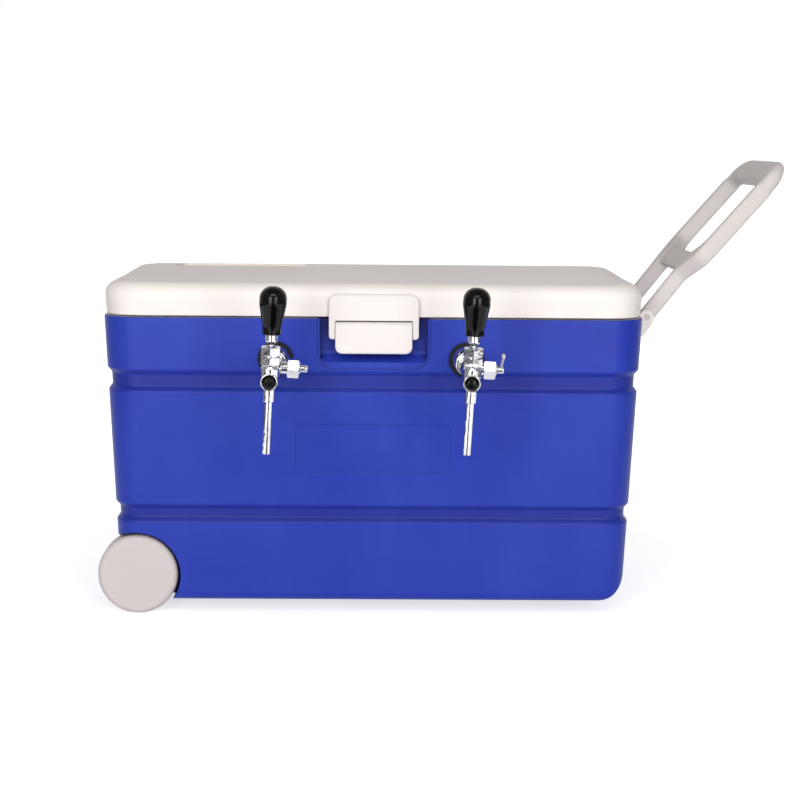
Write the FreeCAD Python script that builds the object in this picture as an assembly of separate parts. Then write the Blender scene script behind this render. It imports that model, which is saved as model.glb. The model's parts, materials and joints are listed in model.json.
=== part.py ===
import FreeCAD, Part
import math
import os

# Wheeled cooler turned into a two-tap jockey box.
# Sizes are in millimetres. X runs right, Y runs away from the taps, Z up.
# The origin is the centre of the tub's underside.

V = FreeCAD.Vector

# Tub
tub_length = 669.0
tub_depth = 360.0
tub_height = 358.5
draft_angle = 2.8
corner_radius = 45.0
rim_radius = 2.0
end_edge_radius = 40.0
side_edge_radius = 12.0
shell_wall = 3.0
groove_depth = 5.0
groove_flank = 6.0
groove_radius = 3.0
upper_groove_z = 280.0
upper_groove_floor = 15.0
lower_groove_z = 113.0
lower_groove_floor = 11.0
label_width = 192.0
label_height = 61.0
label_z = 196.0
label_recess = 0.8
label_radius = 6.0
side_thickness = 30.0
floor_thickness = 40.0
liner_wall = 2.5
liner_corner_radius = 32.0
liner_floor_radius = 10.0
step_width = 66.0
step_rise = 74.0
step_radius = 8.0
foot_height = 17.0
foot_length = 60.0
foot_width = 34.0
foot_x = 262.0
foot_spacing = 134.0
foot_radius = 6.0

# Wheels and axle
wheel_radius = 50.0
wheel_x = -294.0
wheel_width = 36.0
wheel_edge = 7.0
wheel_wall = 4.0
wheel_ribs = 6
rib_thickness = 3.0
hub_radius = 13.0
axle_radius = 5.0
bore_gap = 0.06
axle_end_gap = 1.0
arch_gap = 4.0
pocket_depth = 40.5
pocket_wall = 3.0
channel_gap = 0.1
clip_length = 16.0
clip_height = 12.0
clip_spacing = 150.0
spacer_radius = 9.0

# Lid
lid_gap = 2.0
lid_side_height = 40.5
lid_inset = 3.2
lid_flare = 3.0
lid_top_radius = 17.0
lid_edge_radius = 1.0
lid_wall = 3.0
crown_rise = 7.0
crown_length = 610.0
crown_flank = 15.0
crown_radius = 9.0
crown_depth = 324.0
grip_dip = 5.0
grip_length = 210.0
tray_length = 177.0
tray_width = 90.0
tray_depth = 3.0
tray_x = -175.0
tray_y = 50.0
tray_radius = 14.0
plug_depth = 10.0
plug_gap = 5.0
plug_radius = 6.0
seal_width = 9.0
seal_gap = 0.3

# Lid hinges
hinge_x = 205.0
hinge_length = 64.0
hinge_offset = 7.0
pad_proud = 1.0
leaf_thickness = 2.5
leaf_height = 26.0
leaf_radius = 5.0
knuckle_radius = 4.3
knuckle_gap = 0.3
pin_radius = 2.0
pin_gap = 0.05
screw_radius = 2.0
screw_head_radius = 3.8
screw_head_height = 2.0
screw_depth = 8.0
screw_inset = 12.0

# Latch
latch_width = 110.0
latch_top_z = 389.0
ear_bottom_z = 333.0
latch_radius = 11.0
ear_radius = 5.0
latch_proud = 4.5
flap_width = 94.0
flap_gap = 0.4
flap_bottom_z = 316.0
flap_axis_z = 347.5
barrel_radius = 7.5
flap_thickness = 6.0
flap_radius = 9.0
flap_tilt_gap = 1.4
latch_pocket_width = 132.0
latch_pocket_bottom = 303.0
latch_pocket_depth = 12.0
latch_pocket_radius = 10.0
pocket_border = 3.5
pocket_border_foot = 7.5
pocket_border_depth = 1.2
pocket_border_radius = 22.0
catch_width = 60.0
catch_height = 12.0
catch_z = 333.0
hook_height = 5.0
hook_width = 56.0

# Tow handle
handle_x = 346.5
handle_z = 354.7
handle_angle = 52.0
arm_spacing = 166.0
arm_width = 20.0
arm_thickness = 14.0
arm_jog = 4.0
arm_jog_length = 28.0
handle_length = 259.0
grip_spacing = 213.0
grip_section = 22.0
grip_slope = 3.0
crossbar_start = 72.0
crossbar_width = 30.0
crossbar_thickness = 11.0
grip_width = 38.0
grip_corner = 34.0
window_corner = 12.0
handle_pin_radius = 4.0
cheek_thickness = 4.0
cheek_gap = 0.4
pin_head_height = 2.0
pin_head_lip = 2.0
bracket_bottom_z = 328.0
bracket_base = 2.2
bracket_bridge = 8.0
bracket_wing = 11.0
bracket_eye_radius = 9.0

# Drain
drain_z = 53.0
drain_radius = 11.0
drain_bore = 7.0
drain_flange_radius = 17.0
drain_flange = 3.0
drain_recess_radius = 25.0
drain_recess = 16.0
plug_stem_gap = 0.08
plug_cap_radius = 13.0
plug_cap_height = 9.0

# Taps, measured along the shank and up from its axis
tap_spacing = 234.0
tap_centre_x = -3.2
tap_z = 308.5
tap_lean = 2.8
washer_thickness = 2.0
flange_radius = 17.5
washer_radius = 21.5
flange_nose_radius = 14.0
flange_length = 8.0
shank_radius = 11.0
hole_gap = 0.3
shank_nose = 30.0
tail_start = 3.0
tail_length = 24.0
tail_radius = 4.5
tail_bore = 3.2
coupling_radius = 15.0
coupling_start = 13.0
coupling_length = 16.0
coupling_slots = 4
lock_nut_width = 32.0
lock_nut_length = 7.0
tap_barrel_radius = 10.5
column_u = 125.0
column_radius = 11.0
column_top = 24.0
column_hex = 21.6
column_hex_length = 9.0
column_bottom = 13.0
cap_z = -4.5
cap_reach = 12.0
cap_radius = 8.4
cap_rim = 1.8
cap_dome = 3.5
cap_slot_width = 1.4
cap_slot_depth = 1.2
cap_slot_angle = 35.0
cap_rib_pitch = 1.5
cap_rib_depth = 0.5
bonnet_gap = 2.0
bonnet_length = 9.5
bonnet_bore = 6.9
bonnet_mouth = 9.2
ball_radius = 6.6
ball_depth = 7.5
lever_radius = 3.5
ferrule_gap = 3.0
ferrule_radius = 7.5
ferrule_cone = 3.5
knob_z = 50.0
knob_length = 56.0
knob_base_radius = 11.0
knob_radius = 16.15
knob_neck_radius = 10.8
knob_dome_radius = 14.6
spout_collar_radius = 7.0
spout_collar_length = 16.0
spout_radius = 4.8
spout_bore = 3.6
spout_length = 78.0
flow_u = 60.0
flow_neck_radius = 8.0
flow_neck_length = 17.5
flow_nut_width = 21.5
flow_nut_length = 14.0
flow_stem_radius = 3.5
flow_hub_radius = 4.6
flow_hub_length = 8.5
flow_gap = 0.06
flow_arm_length = 19.0
flow_arm_radius = 1.5
flow_ball_radius = 3.0
flow_turns = {"left": 78.0, "right": 8.0}

# Cooling coils, hoses and rear inlets
tube_radius = 4.76
coil_radius = 93.0
coil_pitch = 15.0
coil_turns = 12
coil_floor_gap = 0.05
coil_run = 80.0
coil_bend = 22.0
riser_top = 274.0
hose_radius = 6.2
hose_wall = 1.4
hose_overlap = 14.0
hose_bend = 28.0
hose_reach = 150.0
clamp_width = 8.0
clamp_thickness = 0.9
inlet_radius = 8.0
inlet_flange_radius = 15.0
inlet_flange_length = 5.0
inlet_thread = 20.0
inlet_nut_width = 24.0

# Worked-out places
slope = math.tan(math.radians(draft_angle))
core_x = tub_length / 2 - corner_radius
core_y = tub_depth / 2 - corner_radius
ground_z = -foot_height
wheel_z = wheel_radius - foot_height
lid_z = tub_height + lid_gap
liner_x = tub_length / 2 - side_thickness
liner_y = tub_depth / 2 - side_thickness
liner_core_x = liner_x - liner_corner_radius
liner_core_y = liner_y - liner_corner_radius
hinge_y = tub_depth / 2 + hinge_offset
hinge_z = tub_height + 0.5
pad_y = tub_depth / 2 + pad_proud
flap_y = -(tub_depth / 2 + 0.5)
latch_face_y = -(tub_depth / 2 + latch_proud)
taps = {"left": tap_centre_x - tap_spacing / 2, "right": tap_centre_x + tap_spacing / 2}
sides = {"front": -1, "rear": 1}
end_normal = V(math.cos(math.radians(draft_angle)), 0, -math.sin(math.radians(draft_angle)))


def wall_x(z):
    """Half the tub's length at a height."""
    return tub_length / 2 - (tub_height - z) * slope


def wall_y(z):
    """Half the tub's depth at a height."""
    return tub_depth / 2 - (tub_height - z) * slope


def to_xz(a, b):
    return V(a, 0, b)


def to_yz(a, b):
    return V(0, a, b)


def to_xy(a, b):
    return V(a, b, 0)


def outline(corners, plane=to_xz):
    """A closed wire through (a, b) or (a, b, radius) corners, each radius a tangent arc."""
    edges = []
    count = len(corners)
    ends = []
    for i in range(count):
        here = plane(*corners[i][:2])
        before = plane(*corners[i - 1][:2]).sub(here).normalize()
        after = plane(*corners[(i + 1) % count][:2]).sub(here).normalize()
        radius = corners[i][2] if len(corners[i]) > 2 else 0.0
        turn = before.getAngle(after)
        if radius <= 0.0 or abs(math.pi - turn) < 1e-6:
            ends.append((here, here, None))
            continue
        reach = radius / math.tan(turn / 2)
        middle = before.add(after).normalize()
        centre = here.add(middle * (radius / math.sin(turn / 2)))
        top = centre.sub(middle * radius)
        ends.append((here.add(before * reach), here.add(after * reach), top))
    for i in range(count):
        start, stop, top = ends[i]
        if top is not None:
            edges.append(Part.Arc(start, top, stop).toShape())
        following = ends[(i + 1) % count][0]
        if stop.distanceToPoint(following) > 1e-6:
            edges.append(Part.LineSegment(stop, following).toShape())
    return Part.Wire(edges)


def offset_path(corners, distance):
    """An open path of (a, b, radius) corners moved to its left by a distance."""
    moved = []
    last = len(corners) - 1
    for i, (a, b, radius) in enumerate(corners):
        normals = []
        for j in (i - 1, i):
            if 0 <= j < last:
                da = corners[j + 1][0] - corners[j][0]
                db = corners[j + 1][1] - corners[j][1]
                size = math.hypot(da, db)
                normals.append((-db / size, da / size))
        na = sum(n[0] for n in normals) / len(normals)
        nb = sum(n[1] for n in normals) / len(normals)
        scale = distance / (na * na + nb * nb)
        turn = 0.0
        if len(normals) == 2:
            turn = normals[0][0] * normals[1][1] - normals[0][1] * normals[1][0]
        new_radius = radius - distance if turn > 0 else radius + distance
        moved.append((a + na * scale, b + nb * scale, max(new_radius, 0.4) if radius else 0.0))
    return moved


def ring_body(corners, half_x, half_y):
    """A profile in XZ swept round a rectangle: straight sides and quarter-turn corners."""
    face = Part.Face(outline(corners))
    low = min(c[1] for c in corners)
    high = max(c[1] for c in corners)
    core = Part.makeBox(2 * half_x, 2 * half_y, high - low, V(-half_x, -half_y, low))
    pieces = []
    for turn in range(4):
        across, along = (half_x, half_y) if turn % 2 == 0 else (half_y, half_x)
        side = face.extrude(V(0, 2 * along, 0))
        side.translate(V(across, -along, 0))
        corner = face.revolve(V(0, 0, 0), V(0, 0, 1), 90)
        corner.translate(V(across, along, 0))
        for piece in (side, corner):
            piece.rotate(V(0, 0, 0), V(0, 0, 1), 90 * turn)
            pieces.append(piece)
    return core.multiFuse(pieces).removeSplitter()


def extruded(corners, plane, vector, start=V(0, 0, 0)):
    """A prism from an outline."""
    solid = Part.Face(outline(corners, plane)).extrude(vector)
    solid.translate(start)
    return solid


def rectangle(a0, b0, a1, b1, radius=0.0):
    """Corners of a rectangle with one radius."""
    return [(a0, b0, radius), (a1, b0, radius), (a1, b1, radius), (a0, b1, radius)]


def round_plate(half_x, half_y, radius, z, height):
    """A flat plate with rounded corners about the Z axis."""
    corners = rectangle(-half_x, -half_y, half_x, half_y, radius)
    return extruded(corners, to_xy, V(0, 0, height), V(0, 0, z))


def cylinder_x(radius, x, length, y=0.0, z=0.0):
    return Part.makeCylinder(radius, length, V(x, y, z), V(1, 0, 0))


def cylinder_y(radius, y, length, x=0.0, z=0.0):
    return Part.makeCylinder(radius, length, V(x, y, z), V(0, 1, 0))


def cylinder_z(radius, z, length, x=0.0, y=0.0):
    return Part.makeCylinder(radius, length, V(x, y, z), V(0, 0, 1))


def turned(corners, axis=V(0, 0, 1)):
    """A solid of revolution from (radius, height) corners, its axis along Z or any other way."""
    solid = Part.Face(outline(corners)).revolve(V(0, 0, 0), V(0, 0, 1), 360)
    if axis != V(0, 0, 1):
        solid.Placement = FreeCAD.Placement(V(0, 0, 0), FreeCAD.Rotation(V(0, 0, 1), axis))
    return solid


def hexagon(width, z, length, chamfer=0.8):
    """A hexagonal prism across its flats, its ends chamfered as nuts are."""
    outer = width / math.sqrt(3)
    angles = [math.radians(60 * k + 30) for k in range(7)]
    points = [V(outer * math.cos(angle), outer * math.sin(angle), z) for angle in angles]
    prism = Part.Face(Part.makePolygon(points)).extrude(V(0, 0, length))
    cone = [(0, z), (outer - chamfer * 1.6, z), (outer + 0.01, z + chamfer),
            (outer + 0.01, z + length - chamfer), (outer - chamfer * 1.6, z + length), (0, z + length)]
    return prism.common(turned(cone))


def fused(solids):
    """One solid from several that touch or overlap."""
    return solids[0].multiFuse(solids[1:]).removeSplitter()


def group(solids):
    return Part.makeCompound(solids)


def mirrored_x(solid):
    return solid.mirror(V(0, 0, 0), V(1, 0, 0))


def hole(start, way, radius, length):
    """A cylinder from a point along any direction."""
    return Part.makeCylinder(radius, length, start, way)


def wall_place(x, z, front=True):
    """Where a part sits square on the front or rear wall: its own -Y points out of the wall."""
    turn = FreeCAD.Rotation(V(1, 0, 0), draft_angle)
    place = FreeCAD.Placement(V(x, -wall_y(z), z), turn)
    if front:
        return place
    half_turn = FreeCAD.Placement(V(0, 0, 0), FreeCAD.Rotation(V(0, 0, 1), 180))
    return half_turn.multiply(FreeCAD.Placement(V(-x, -wall_y(z), z), turn))


def placed(solid, place):
    moved = solid.copy()
    moved.Placement = place.multiply(moved.Placement)
    return moved


# Tub

def wall_path():
    """The tub's outside from under its corner axis to the rim, as (out, up, radius) corners."""
    def at(z, depth=0.0, radius=groove_radius):
        return (wall_x(z) - core_x - depth, z, radius)

    path = [(0.0, 0.0, 0.0), at(0.0, radius=side_edge_radius)]
    for middle, floor in ((lower_groove_z, lower_groove_floor), (upper_groove_z, upper_groove_floor)):
        low, high = middle - floor / 2, middle + floor / 2
        path.append(at(low - groove_flank))
        path.append(at(low, groove_depth))
        path.append(at(high, groove_depth))
        path.append(at(high + groove_flank))
    path.append(at(tub_height, radius=rim_radius))
    return path


def end_edge_cutter(inset):
    """What rounds off the lower edge at the right end."""
    reach = end_edge_radius - inset
    draft = math.radians(draft_angle)
    bite = 0.05
    back = inset + reach * (1 - math.sin(draft)) / math.cos(draft)
    centre = V(wall_x(inset) - back + bite, 0, inset + reach - bite)

    def on_arc(angle):
        return centre.add(V(math.cos(angle), 0, math.sin(angle)) * reach)

    start = on_arc(-math.pi / 2)
    stop = on_arc(-draft)
    far = stop.x + reach
    below = start.z - reach
    path = [stop, V(far, 0, stop.z), V(far, 0, below), V(start.x, 0, below), start]
    arc = Part.Arc(start, on_arc(-math.pi / 4), stop).toShape()
    cutter = Part.Face(Part.Wire([arc] + Part.makePolygon(path).Edges)).extrude(V(0, 2 * tub_depth, 0))
    cutter.translate(V(0, -tub_depth, 0))
    return cutter


def rounded_ends(solid, inset):
    cutter = end_edge_cutter(inset)
    return solid.cut(cutter).cut(mirrored_x(cutter))


def wheel_pockets(grow):
    """The two wheel arches, grown by the wall that lines them."""
    inner = wall_y(wheel_z) - pocket_depth - grow
    depth = pocket_depth + grow + corner_radius
    radius = wheel_radius + arch_gap + grow
    starts = [inner if side > 0 else -inner - depth for side in sides.values()]
    return [cylinder_y(radius, start, depth, wheel_x, wheel_z) for start in starts]


def axle_channel(grow):
    """The slot under the tub that takes the axle, open below."""
    radius = axle_radius + channel_gap + grow
    half = wall_y(wheel_z) - pocket_depth + 1.0
    slot = Part.makeBox(2 * radius, 2 * half, wheel_z + 1.0, V(wheel_x - radius, -half, -1.0))
    return slot.fuse(cylinder_y(radius, -half, 2 * half, wheel_x, wheel_z))


def latch_pocket(grow):
    """The recess that lets fingers behind the latch flap."""
    half = latch_pocket_width / 2 + grow
    low = latch_pocket_bottom - grow
    face = -wall_y(latch_pocket_bottom)
    back = face + latch_pocket_depth + grow
    top = tub_height + 5.0
    shift = (top - low) * slope
    side = [(face - 20, low), (face, low), (back, low + latch_pocket_depth, latch_pocket_radius - 2),
            (back - shift, top), (face - 20, top)]
    front = [(-half, low, latch_pocket_radius + grow), (half, low, latch_pocket_radius + grow),
             (half, top), (-half, top)]
    run = extruded(side, to_yz, V(2 * half, 0, 0), V(-half, 0, 0))
    mask = extruded(front, to_xz, V(0, tub_depth / 2, 0), V(0, -tub_depth / 2 - 20, 0))
    return run.common(mask)


def pocket_border_cut():
    """The shallow rounded border sunk into the front wall round the latch pocket."""
    half = latch_pocket_width / 2 + pocket_border
    low = latch_pocket_bottom - pocket_border_foot
    corners = [(-half, 0.0, pocket_border_radius), (half, 0.0, pocket_border_radius),
               (half, tub_height - low + 10.0), (-half, tub_height - low + 10.0)]
    slab = extruded(corners, to_xz, V(0, 10 + pocket_border_depth, 0), V(0, -10, 0))
    return placed(slab, wall_place(0.0, low))


def drain_pocket(grow):
    """The round recess in the end wall round the drain."""
    start = wall_x(drain_z) - drain_recess - grow
    return cylinder_x(drain_recess_radius + grow, start, drain_recess + grow + corner_radius, 0, drain_z)


def outer_form():
    """The tub's outside as one block, with its recesses."""
    corners = wall_path()
    corners.append((0.0, tub_height, 0.0))
    body = rounded_ends(ring_body(corners, core_x, core_y), 0.0)
    recesses = wheel_pockets(0.0) + [axle_channel(0.0), latch_pocket(0.0), drain_pocket(0.0)]
    recesses.append(pocket_border_cut())
    return body.cut(recesses)


def foam_form():
    """The space inside the tub's outer shell, open past the rim."""
    path = offset_path(wall_path(), shell_wall)
    path[-1] = (path[-1][0], tub_height, 0.0)
    path.append((path[-1][0], tub_height + 1.0, 0.0))
    path.append((0.0, tub_height + 1.0, 0.0))
    body = rounded_ends(ring_body(path, core_x, core_y), shell_wall)
    recesses = wheel_pockets(pocket_wall) + [axle_channel(pocket_wall), latch_pocket(shell_wall),
                                             drain_pocket(shell_wall)]
    return body.cut(recesses)


def liner_form(inset):
    """The tub's inside as a block: inset 0 is the inner face, the liner's wall is its outer face."""
    low = floor_thickness - inset
    high = tub_height + 2.0
    rim = liner_corner_radius + inset + (high - tub_height) * slope
    at_floor = rim - (high - low) * slope
    corners = [(0.0, low), (at_floor, low, liner_floor_radius + inset), (rim, high), (0.0, high)]
    block = ring_body(corners, liner_core_x, liner_core_y)
    floor_x = (tub_height - floor_thickness) * slope - liner_x
    step_x = floor_x + step_width - inset
    step_z = floor_thickness + step_rise - inset
    beyond = floor_x - step_width
    stair = [(beyond, low - 5), (step_x, low - 5), (step_x, step_z, step_radius - inset), (beyond, step_z)]
    step = extruded(stair, to_xz, V(0, 2 * tub_depth, 0), V(0, -tub_depth, 0))
    return block.cut(step)


def foot(side):
    """One moulded foot under the right end."""
    corner = V(foot_x - foot_length / 2, side * foot_spacing / 2 - foot_width / 2, ground_z)
    block = Part.makeBox(foot_length, foot_width, foot_height + 2 * shell_wall, corner)
    upright = [e for e in block.Edges if e.BoundBox.ZLength > foot_height]
    return block.makeFillet(foot_radius, upright)


def hinge_pad(x):
    """A flat moulded pad on the tub's rear wall under a hinge."""
    half = hinge_length / 2 + 4.0
    top = tub_height - 4.0
    low = top - leaf_height - 6.0
    back = wall_y(low) - shell_wall / 2
    corners = rectangle(x - half, low, x + half, top, leaf_radius)
    return extruded(corners, to_xz, V(0, pad_y - back, 0), V(0, back, 0))


def wall_hole(radius, x, z, front=True):
    """A hole square to the front or rear wall, long enough for the whole wall."""
    bar = cylinder_y(radius, -corner_radius, side_thickness + 2 * corner_radius)
    return placed(bar, wall_place(x, z, front))


def through_holes():
    """Every hole that pierces shell, foam and liner."""
    holes = []
    for x in taps.values():
        holes.append(wall_hole(shank_radius + hole_gap, x, tap_z))
        holes.append(wall_hole(inlet_radius + hole_gap, x, tap_z, front=False))
    reach = wall_x(drain_z) - liner_core_x
    holes.append(cylinder_x(drain_radius + hole_gap, liner_core_x, reach + corner_radius, 0, drain_z))
    return holes


def hinge_screw_places():
    """Centres of the hinge screws along X, for both leaves."""
    reach = hinge_length / 2 - screw_inset
    return [side * hinge_x + shift * reach for side in (-1, 1) for shift in (-1, 1)]


def body_leaf_z():
    return tub_height - 5.0 - leaf_height / 2


def lid_leaf_z():
    return lid_z + 5.0 + leaf_height / 2


def screw_holes(z):
    places = hinge_screw_places()
    return [cylinder_y(screw_radius, pad_y - screw_depth, screw_depth + 5.0, x, z) for x in places]


def catch_screw_places():
    return [V(side * catch_width / 3, catch_face_y(), catch_z) for side in (-1, 1)]


def catch_depth():
    return pocket_back_y(catch_z) - catch_face_y()


def bracket_half():
    """Half a handle bracket's width, from the arm's middle to the plate's edge."""
    return arm_thickness / 2 + cheek_gap + cheek_thickness + bracket_wing


def bracket_screw_places():
    """Seats of the tow handle's bracket screws on the plates."""
    z = bracket_bottom_z + bracket_bridge
    reach = bracket_half() - bracket_wing / 2
    x = wall_x(z) + bracket_base
    return [V(x, side * arm_spacing / 2 + shift * reach, z) for side in (-1, 1) for shift in (-1, 1)]


def body_screw_holes():
    """Holes for every screw that enters the tub's walls."""
    holes = screw_holes(body_leaf_z())
    for p in catch_screw_places():
        holes.append(cylinder_y(screw_radius, p.y - 5.0, 5.0 + catch_depth() + screw_depth, p.x, p.z))
    return holes + bracket_screw_holes()


def bracket_screw_holes():
    """Holes through the handle brackets into the end wall, square to it."""
    depth = bracket_base + screw_depth
    starts = [p.sub(end_normal * depth) for p in bracket_screw_places()]
    return [hole(start, end_normal, screw_radius, depth + 15.0) for start in starts]


def label_panel():
    """The bare label recess on the front wall."""
    half_x, half_z = label_width / 2, label_height / 2
    corners = rectangle(-half_x, -half_z, half_x, half_z, label_radius)
    panel = extruded(corners, to_xz, V(0, 10 + label_recess, 0), V(0, -10, 0))
    return placed(panel, wall_place(0.0, label_z))


def full_slab(z, height):
    """A slab as wide and deep as the tub's rim."""
    return Part.makeBox(tub_length, tub_depth, height, V(-tub_length / 2, -tub_depth / 2, z))


def outer_shell(outside, inside):
    extras = [foot(side) for side in sides.values()]
    extras += [hinge_pad(side * hinge_x) for side in (-1, 1)]
    cuts = [inside, label_panel()] + through_holes() + body_screw_holes()
    return outside.multiFuse(extras).cut(cuts).removeSplitter()


def inner_liner(inside):
    """The white inner tub with a flange that lies inside the shell's rim."""
    flange = full_slab(tub_height - liner_wall, liner_wall)
    basin = liner_form(liner_wall).common(full_slab(0.0, tub_height))
    tub = basin.fuse(flange.common(inside))
    return tub.cut([liner_form(0.0)] + through_holes()).removeSplitter()


def wall_foam(inside):
    """The foam between shell and liner, filling it exactly."""
    below_flange = full_slab(0.0, tub_height - liner_wall)
    cuts = [liner_form(liner_wall)] + through_holes() + body_screw_holes()
    return inside.common(below_flange).cut(cuts).removeSplitter()


# Lid

def lid_form(inset):
    """The lid as a block, all of its outside moved in by inset."""
    top = lid_z + lid_side_height
    foot_d = corner_radius - lid_inset
    path = [(foot_d, lid_z, lid_edge_radius if inset == 0 else 0.0),
            (foot_d + lid_flare, top, lid_top_radius), (0.0, top, 0.0)]
    moved = offset_path(path, inset)
    moved[0] = (moved[0][0], lid_z, moved[0][2])
    moved[-1] = (0.0, moved[-1][1], 0.0)
    body = ring_body([(0.0, lid_z)] + moved, core_x, core_y)
    return body.cut(grip_dips(inset)).fuse(lid_crown(inset)).cut(top_tray(inset)).removeSplitter()


def circle_segment(chord, rise, low, plane_low):
    """A YZ outline under an arc of the given chord and rise, down to a lower line."""
    half = chord / 2
    arc = Part.Arc(V(0, -half, low), V(0, 0, low + rise), V(0, half, low)).toShape()
    corners = [(half, low), (half, plane_low), (-half, plane_low), (-half, low)]
    sides_down = Part.makePolygon([V(0, y, z) for y, z in corners])
    return Part.Face(Part.Wire([arc] + sides_down.Edges))


def lid_crown(inset):
    """The raised middle of the lid, crowned front to back and sloping off at both ends."""
    top = lid_z + lid_side_height - inset
    low = top - grip_dip - 5.0
    peak = top + crown_rise + 1.5
    lean = crown_flank / (peak - top)
    half = crown_length / 2 - inset
    half_low = half + lean * (top - low)
    arch = circle_segment(crown_depth, crown_rise, top, low).extrude(V(2 * half_low, 0, 0))
    arch.translate(V(-half_low, 0, 0))
    half_peak = half - crown_flank
    corners = [(-half_low, low), (half_low, low), (half_peak, peak, crown_radius),
               (-half_peak, peak, crown_radius)]
    ends = extruded(corners, to_xz, V(0, tub_depth, 0), V(0, -tub_depth / 2, 0))
    return arch.common(ends)


def grip_dips(inset):
    """The shallow dips that let fingers under at both ends of the lid's top."""
    top = lid_z + lid_side_height - inset
    half = grip_length / 2
    arc = Part.Arc(V(0, -half, top), V(0, 0, top - grip_dip), V(0, half, top)).toShape()
    over = Part.makePolygon([V(0, half, top), V(0, half, top + 5), V(0, -half, top + 5), V(0, -half, top)])
    dip = Part.Face(Part.Wire([arc] + over.Edges)).extrude(V(2 * corner_radius, 0, 0))
    dip.translate(V(crown_length / 2 - crown_flank / 2, 0, 0))
    return [dip, mirrored_x(dip)]


def top_tray(inset):
    """The shallow tray in the rear left of the lid's top."""
    arch_drop = crown_rise * (2 * (tray_y + tray_width / 2) / crown_depth) ** 2
    floor = lid_z + lid_side_height + crown_rise - arch_drop - tray_depth - inset
    plate = round_plate(tray_length / 2 + inset, tray_width / 2 + inset, tray_radius + inset, floor, 20.0)
    plate.translate(V(tray_x, tray_y, 0))
    return plate


def lid_hinge_pad(x):
    """The moulded block behind a hinge leaf, its face the leaf's seat."""
    half = hinge_length / 2 + 1.0
    inner = pad_y - screw_depth - shell_wall
    low = lid_leaf_z() - leaf_height / 2 - 2.0
    return Part.makeBox(2 * half, pad_y - inner, leaf_height + 4.0, V(x - half, inner, low))


def lid_shell(outside, inside):
    shell = outside.cut(inside).multiFuse([lid_hinge_pad(side * hinge_x) for side in (-1, 1)])
    return shell.cut(screw_holes(lid_leaf_z())).removeSplitter()


def plug_form(inset):
    """The part of the lid's liner that enters the tub."""
    high = lid_z + liner_wall
    low = lid_z - lid_gap - plug_depth + inset
    rim = liner_corner_radius - plug_gap - inset
    at_low = rim - (high - low) * slope
    corners = [(0.0, low), (at_low, low, plug_radius), (rim, high), (0.0, high)]
    return ring_body(corners, liner_core_x, liner_core_y)


def lid_liner(inside):
    """The white panel that closes the lid from below."""
    panel = inside.common(full_slab(lid_z, liner_wall)).fuse(plug_form(0.0))
    return panel.cut(plug_form(liner_wall)).removeSplitter()


def lid_foam(inside):
    """The foam that fills the lid."""
    above = full_slab(lid_z + liner_wall, 2 * lid_side_height)
    filling = inside.common(above).fuse(plug_form(liner_wall))
    cuts = [lid_hinge_pad(side * hinge_x) for side in (-1, 1)]
    return filling.cut(cuts).removeSplitter()


def lid_seal():
    """A flat ring of seal under the lid's liner, over the tub's rim."""
    height = lid_gap - seal_gap
    low = lid_z - height
    half_x = liner_x + 2.0
    half_y = liner_y + 2.0
    radius = liner_corner_radius
    outer = round_plate(half_x + seal_width, half_y + seal_width, radius + seal_width, low, height)
    return outer.cut(round_plate(half_x, half_y, radius, low, height))


# Lid hinges

def hinge_leaf(x, on_lid):
    """One leaf: a plate on its pad and the knuckles that it carries round the pin."""
    half = hinge_length / 2
    middle = lid_leaf_z() if on_lid else body_leaf_z()
    low, high = middle - leaf_height / 2, middle + leaf_height / 2
    corners = rectangle(x - half, low, x + half, high, leaf_radius)
    plate = extruded(corners, to_xz, V(0, leaf_thickness, 0), V(0, pad_y, 0))
    third = hinge_length / 3
    spans = [(-half, -third / 2), (third / 2, half)]
    if on_lid:
        spans = [(-third / 2 + knuckle_gap, third / 2 - knuckle_gap)]
    pieces = [plate]
    for start, stop in spans:
        near, far = (hinge_z, low + leaf_radius) if on_lid else (high - leaf_radius, hinge_z)
        web = Part.makeBox(stop - start, leaf_thickness, far - near, V(x + start, pad_y, near))
        knuckle = cylinder_x(knuckle_radius, x + start, stop - start, hinge_y, hinge_z)
        pieces += [web, knuckle]
    leaf = fused(pieces)
    cuts = [cylinder_x(pin_radius + pin_gap, x - half - 1, hinge_length + 2, hinge_y, hinge_z)]
    for screw_x in hinge_screw_places():
        cuts.append(cylinder_y(screw_radius, pad_y - 1, leaf_thickness + 2, screw_x, middle))
    return leaf.cut(cuts)


def hinge_pins():
    """A headed pin through each hinge."""
    pins = []
    for side in (-1, 1):
        start = side * hinge_x - hinge_length / 2 - 1.0
        rod = cylinder_x(pin_radius, start, hinge_length + 2.0, hinge_y, hinge_z)
        head = cylinder_x(pin_radius + 1.2, start - 1.2, 1.2, hinge_y, hinge_z)
        pins.append(rod.fuse(head))
    return group(pins)


def screw(place, outward, depth):
    """A round-headed screw: its head sits at place and faces outward."""
    stem = cylinder_z(screw_radius, -depth, depth)
    head = turned([(0, 0), (screw_head_radius, 0), (screw_head_radius, 0.5 * screw_head_height, 0.8),
                   (0.5 * screw_head_radius, screw_head_height, 1.0), (0, screw_head_height)])
    solid = head.fuse(stem)
    solid.Placement = FreeCAD.Placement(place, FreeCAD.Rotation(V(0, 0, 1), outward))
    return solid


def hinge_screws(z):
    depth = leaf_thickness + screw_depth
    return [screw(V(x, pad_y + leaf_thickness, z), V(0, 1, 0), depth) for x in hinge_screw_places()]


def body_screws():
    """The screws in the tub: hinge leaves, latch catch and handle brackets."""
    screws = hinge_screws(body_leaf_z())
    screws += [screw(p, V(0, -1, 0), catch_depth() + screw_depth) for p in catch_screw_places()]
    screws += [screw(p, end_normal, bracket_base + screw_depth) for p in bracket_screw_places()]
    return group(screws)


def lid_screws():
    return group(hinge_screws(lid_leaf_z()))


# Latch

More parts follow.
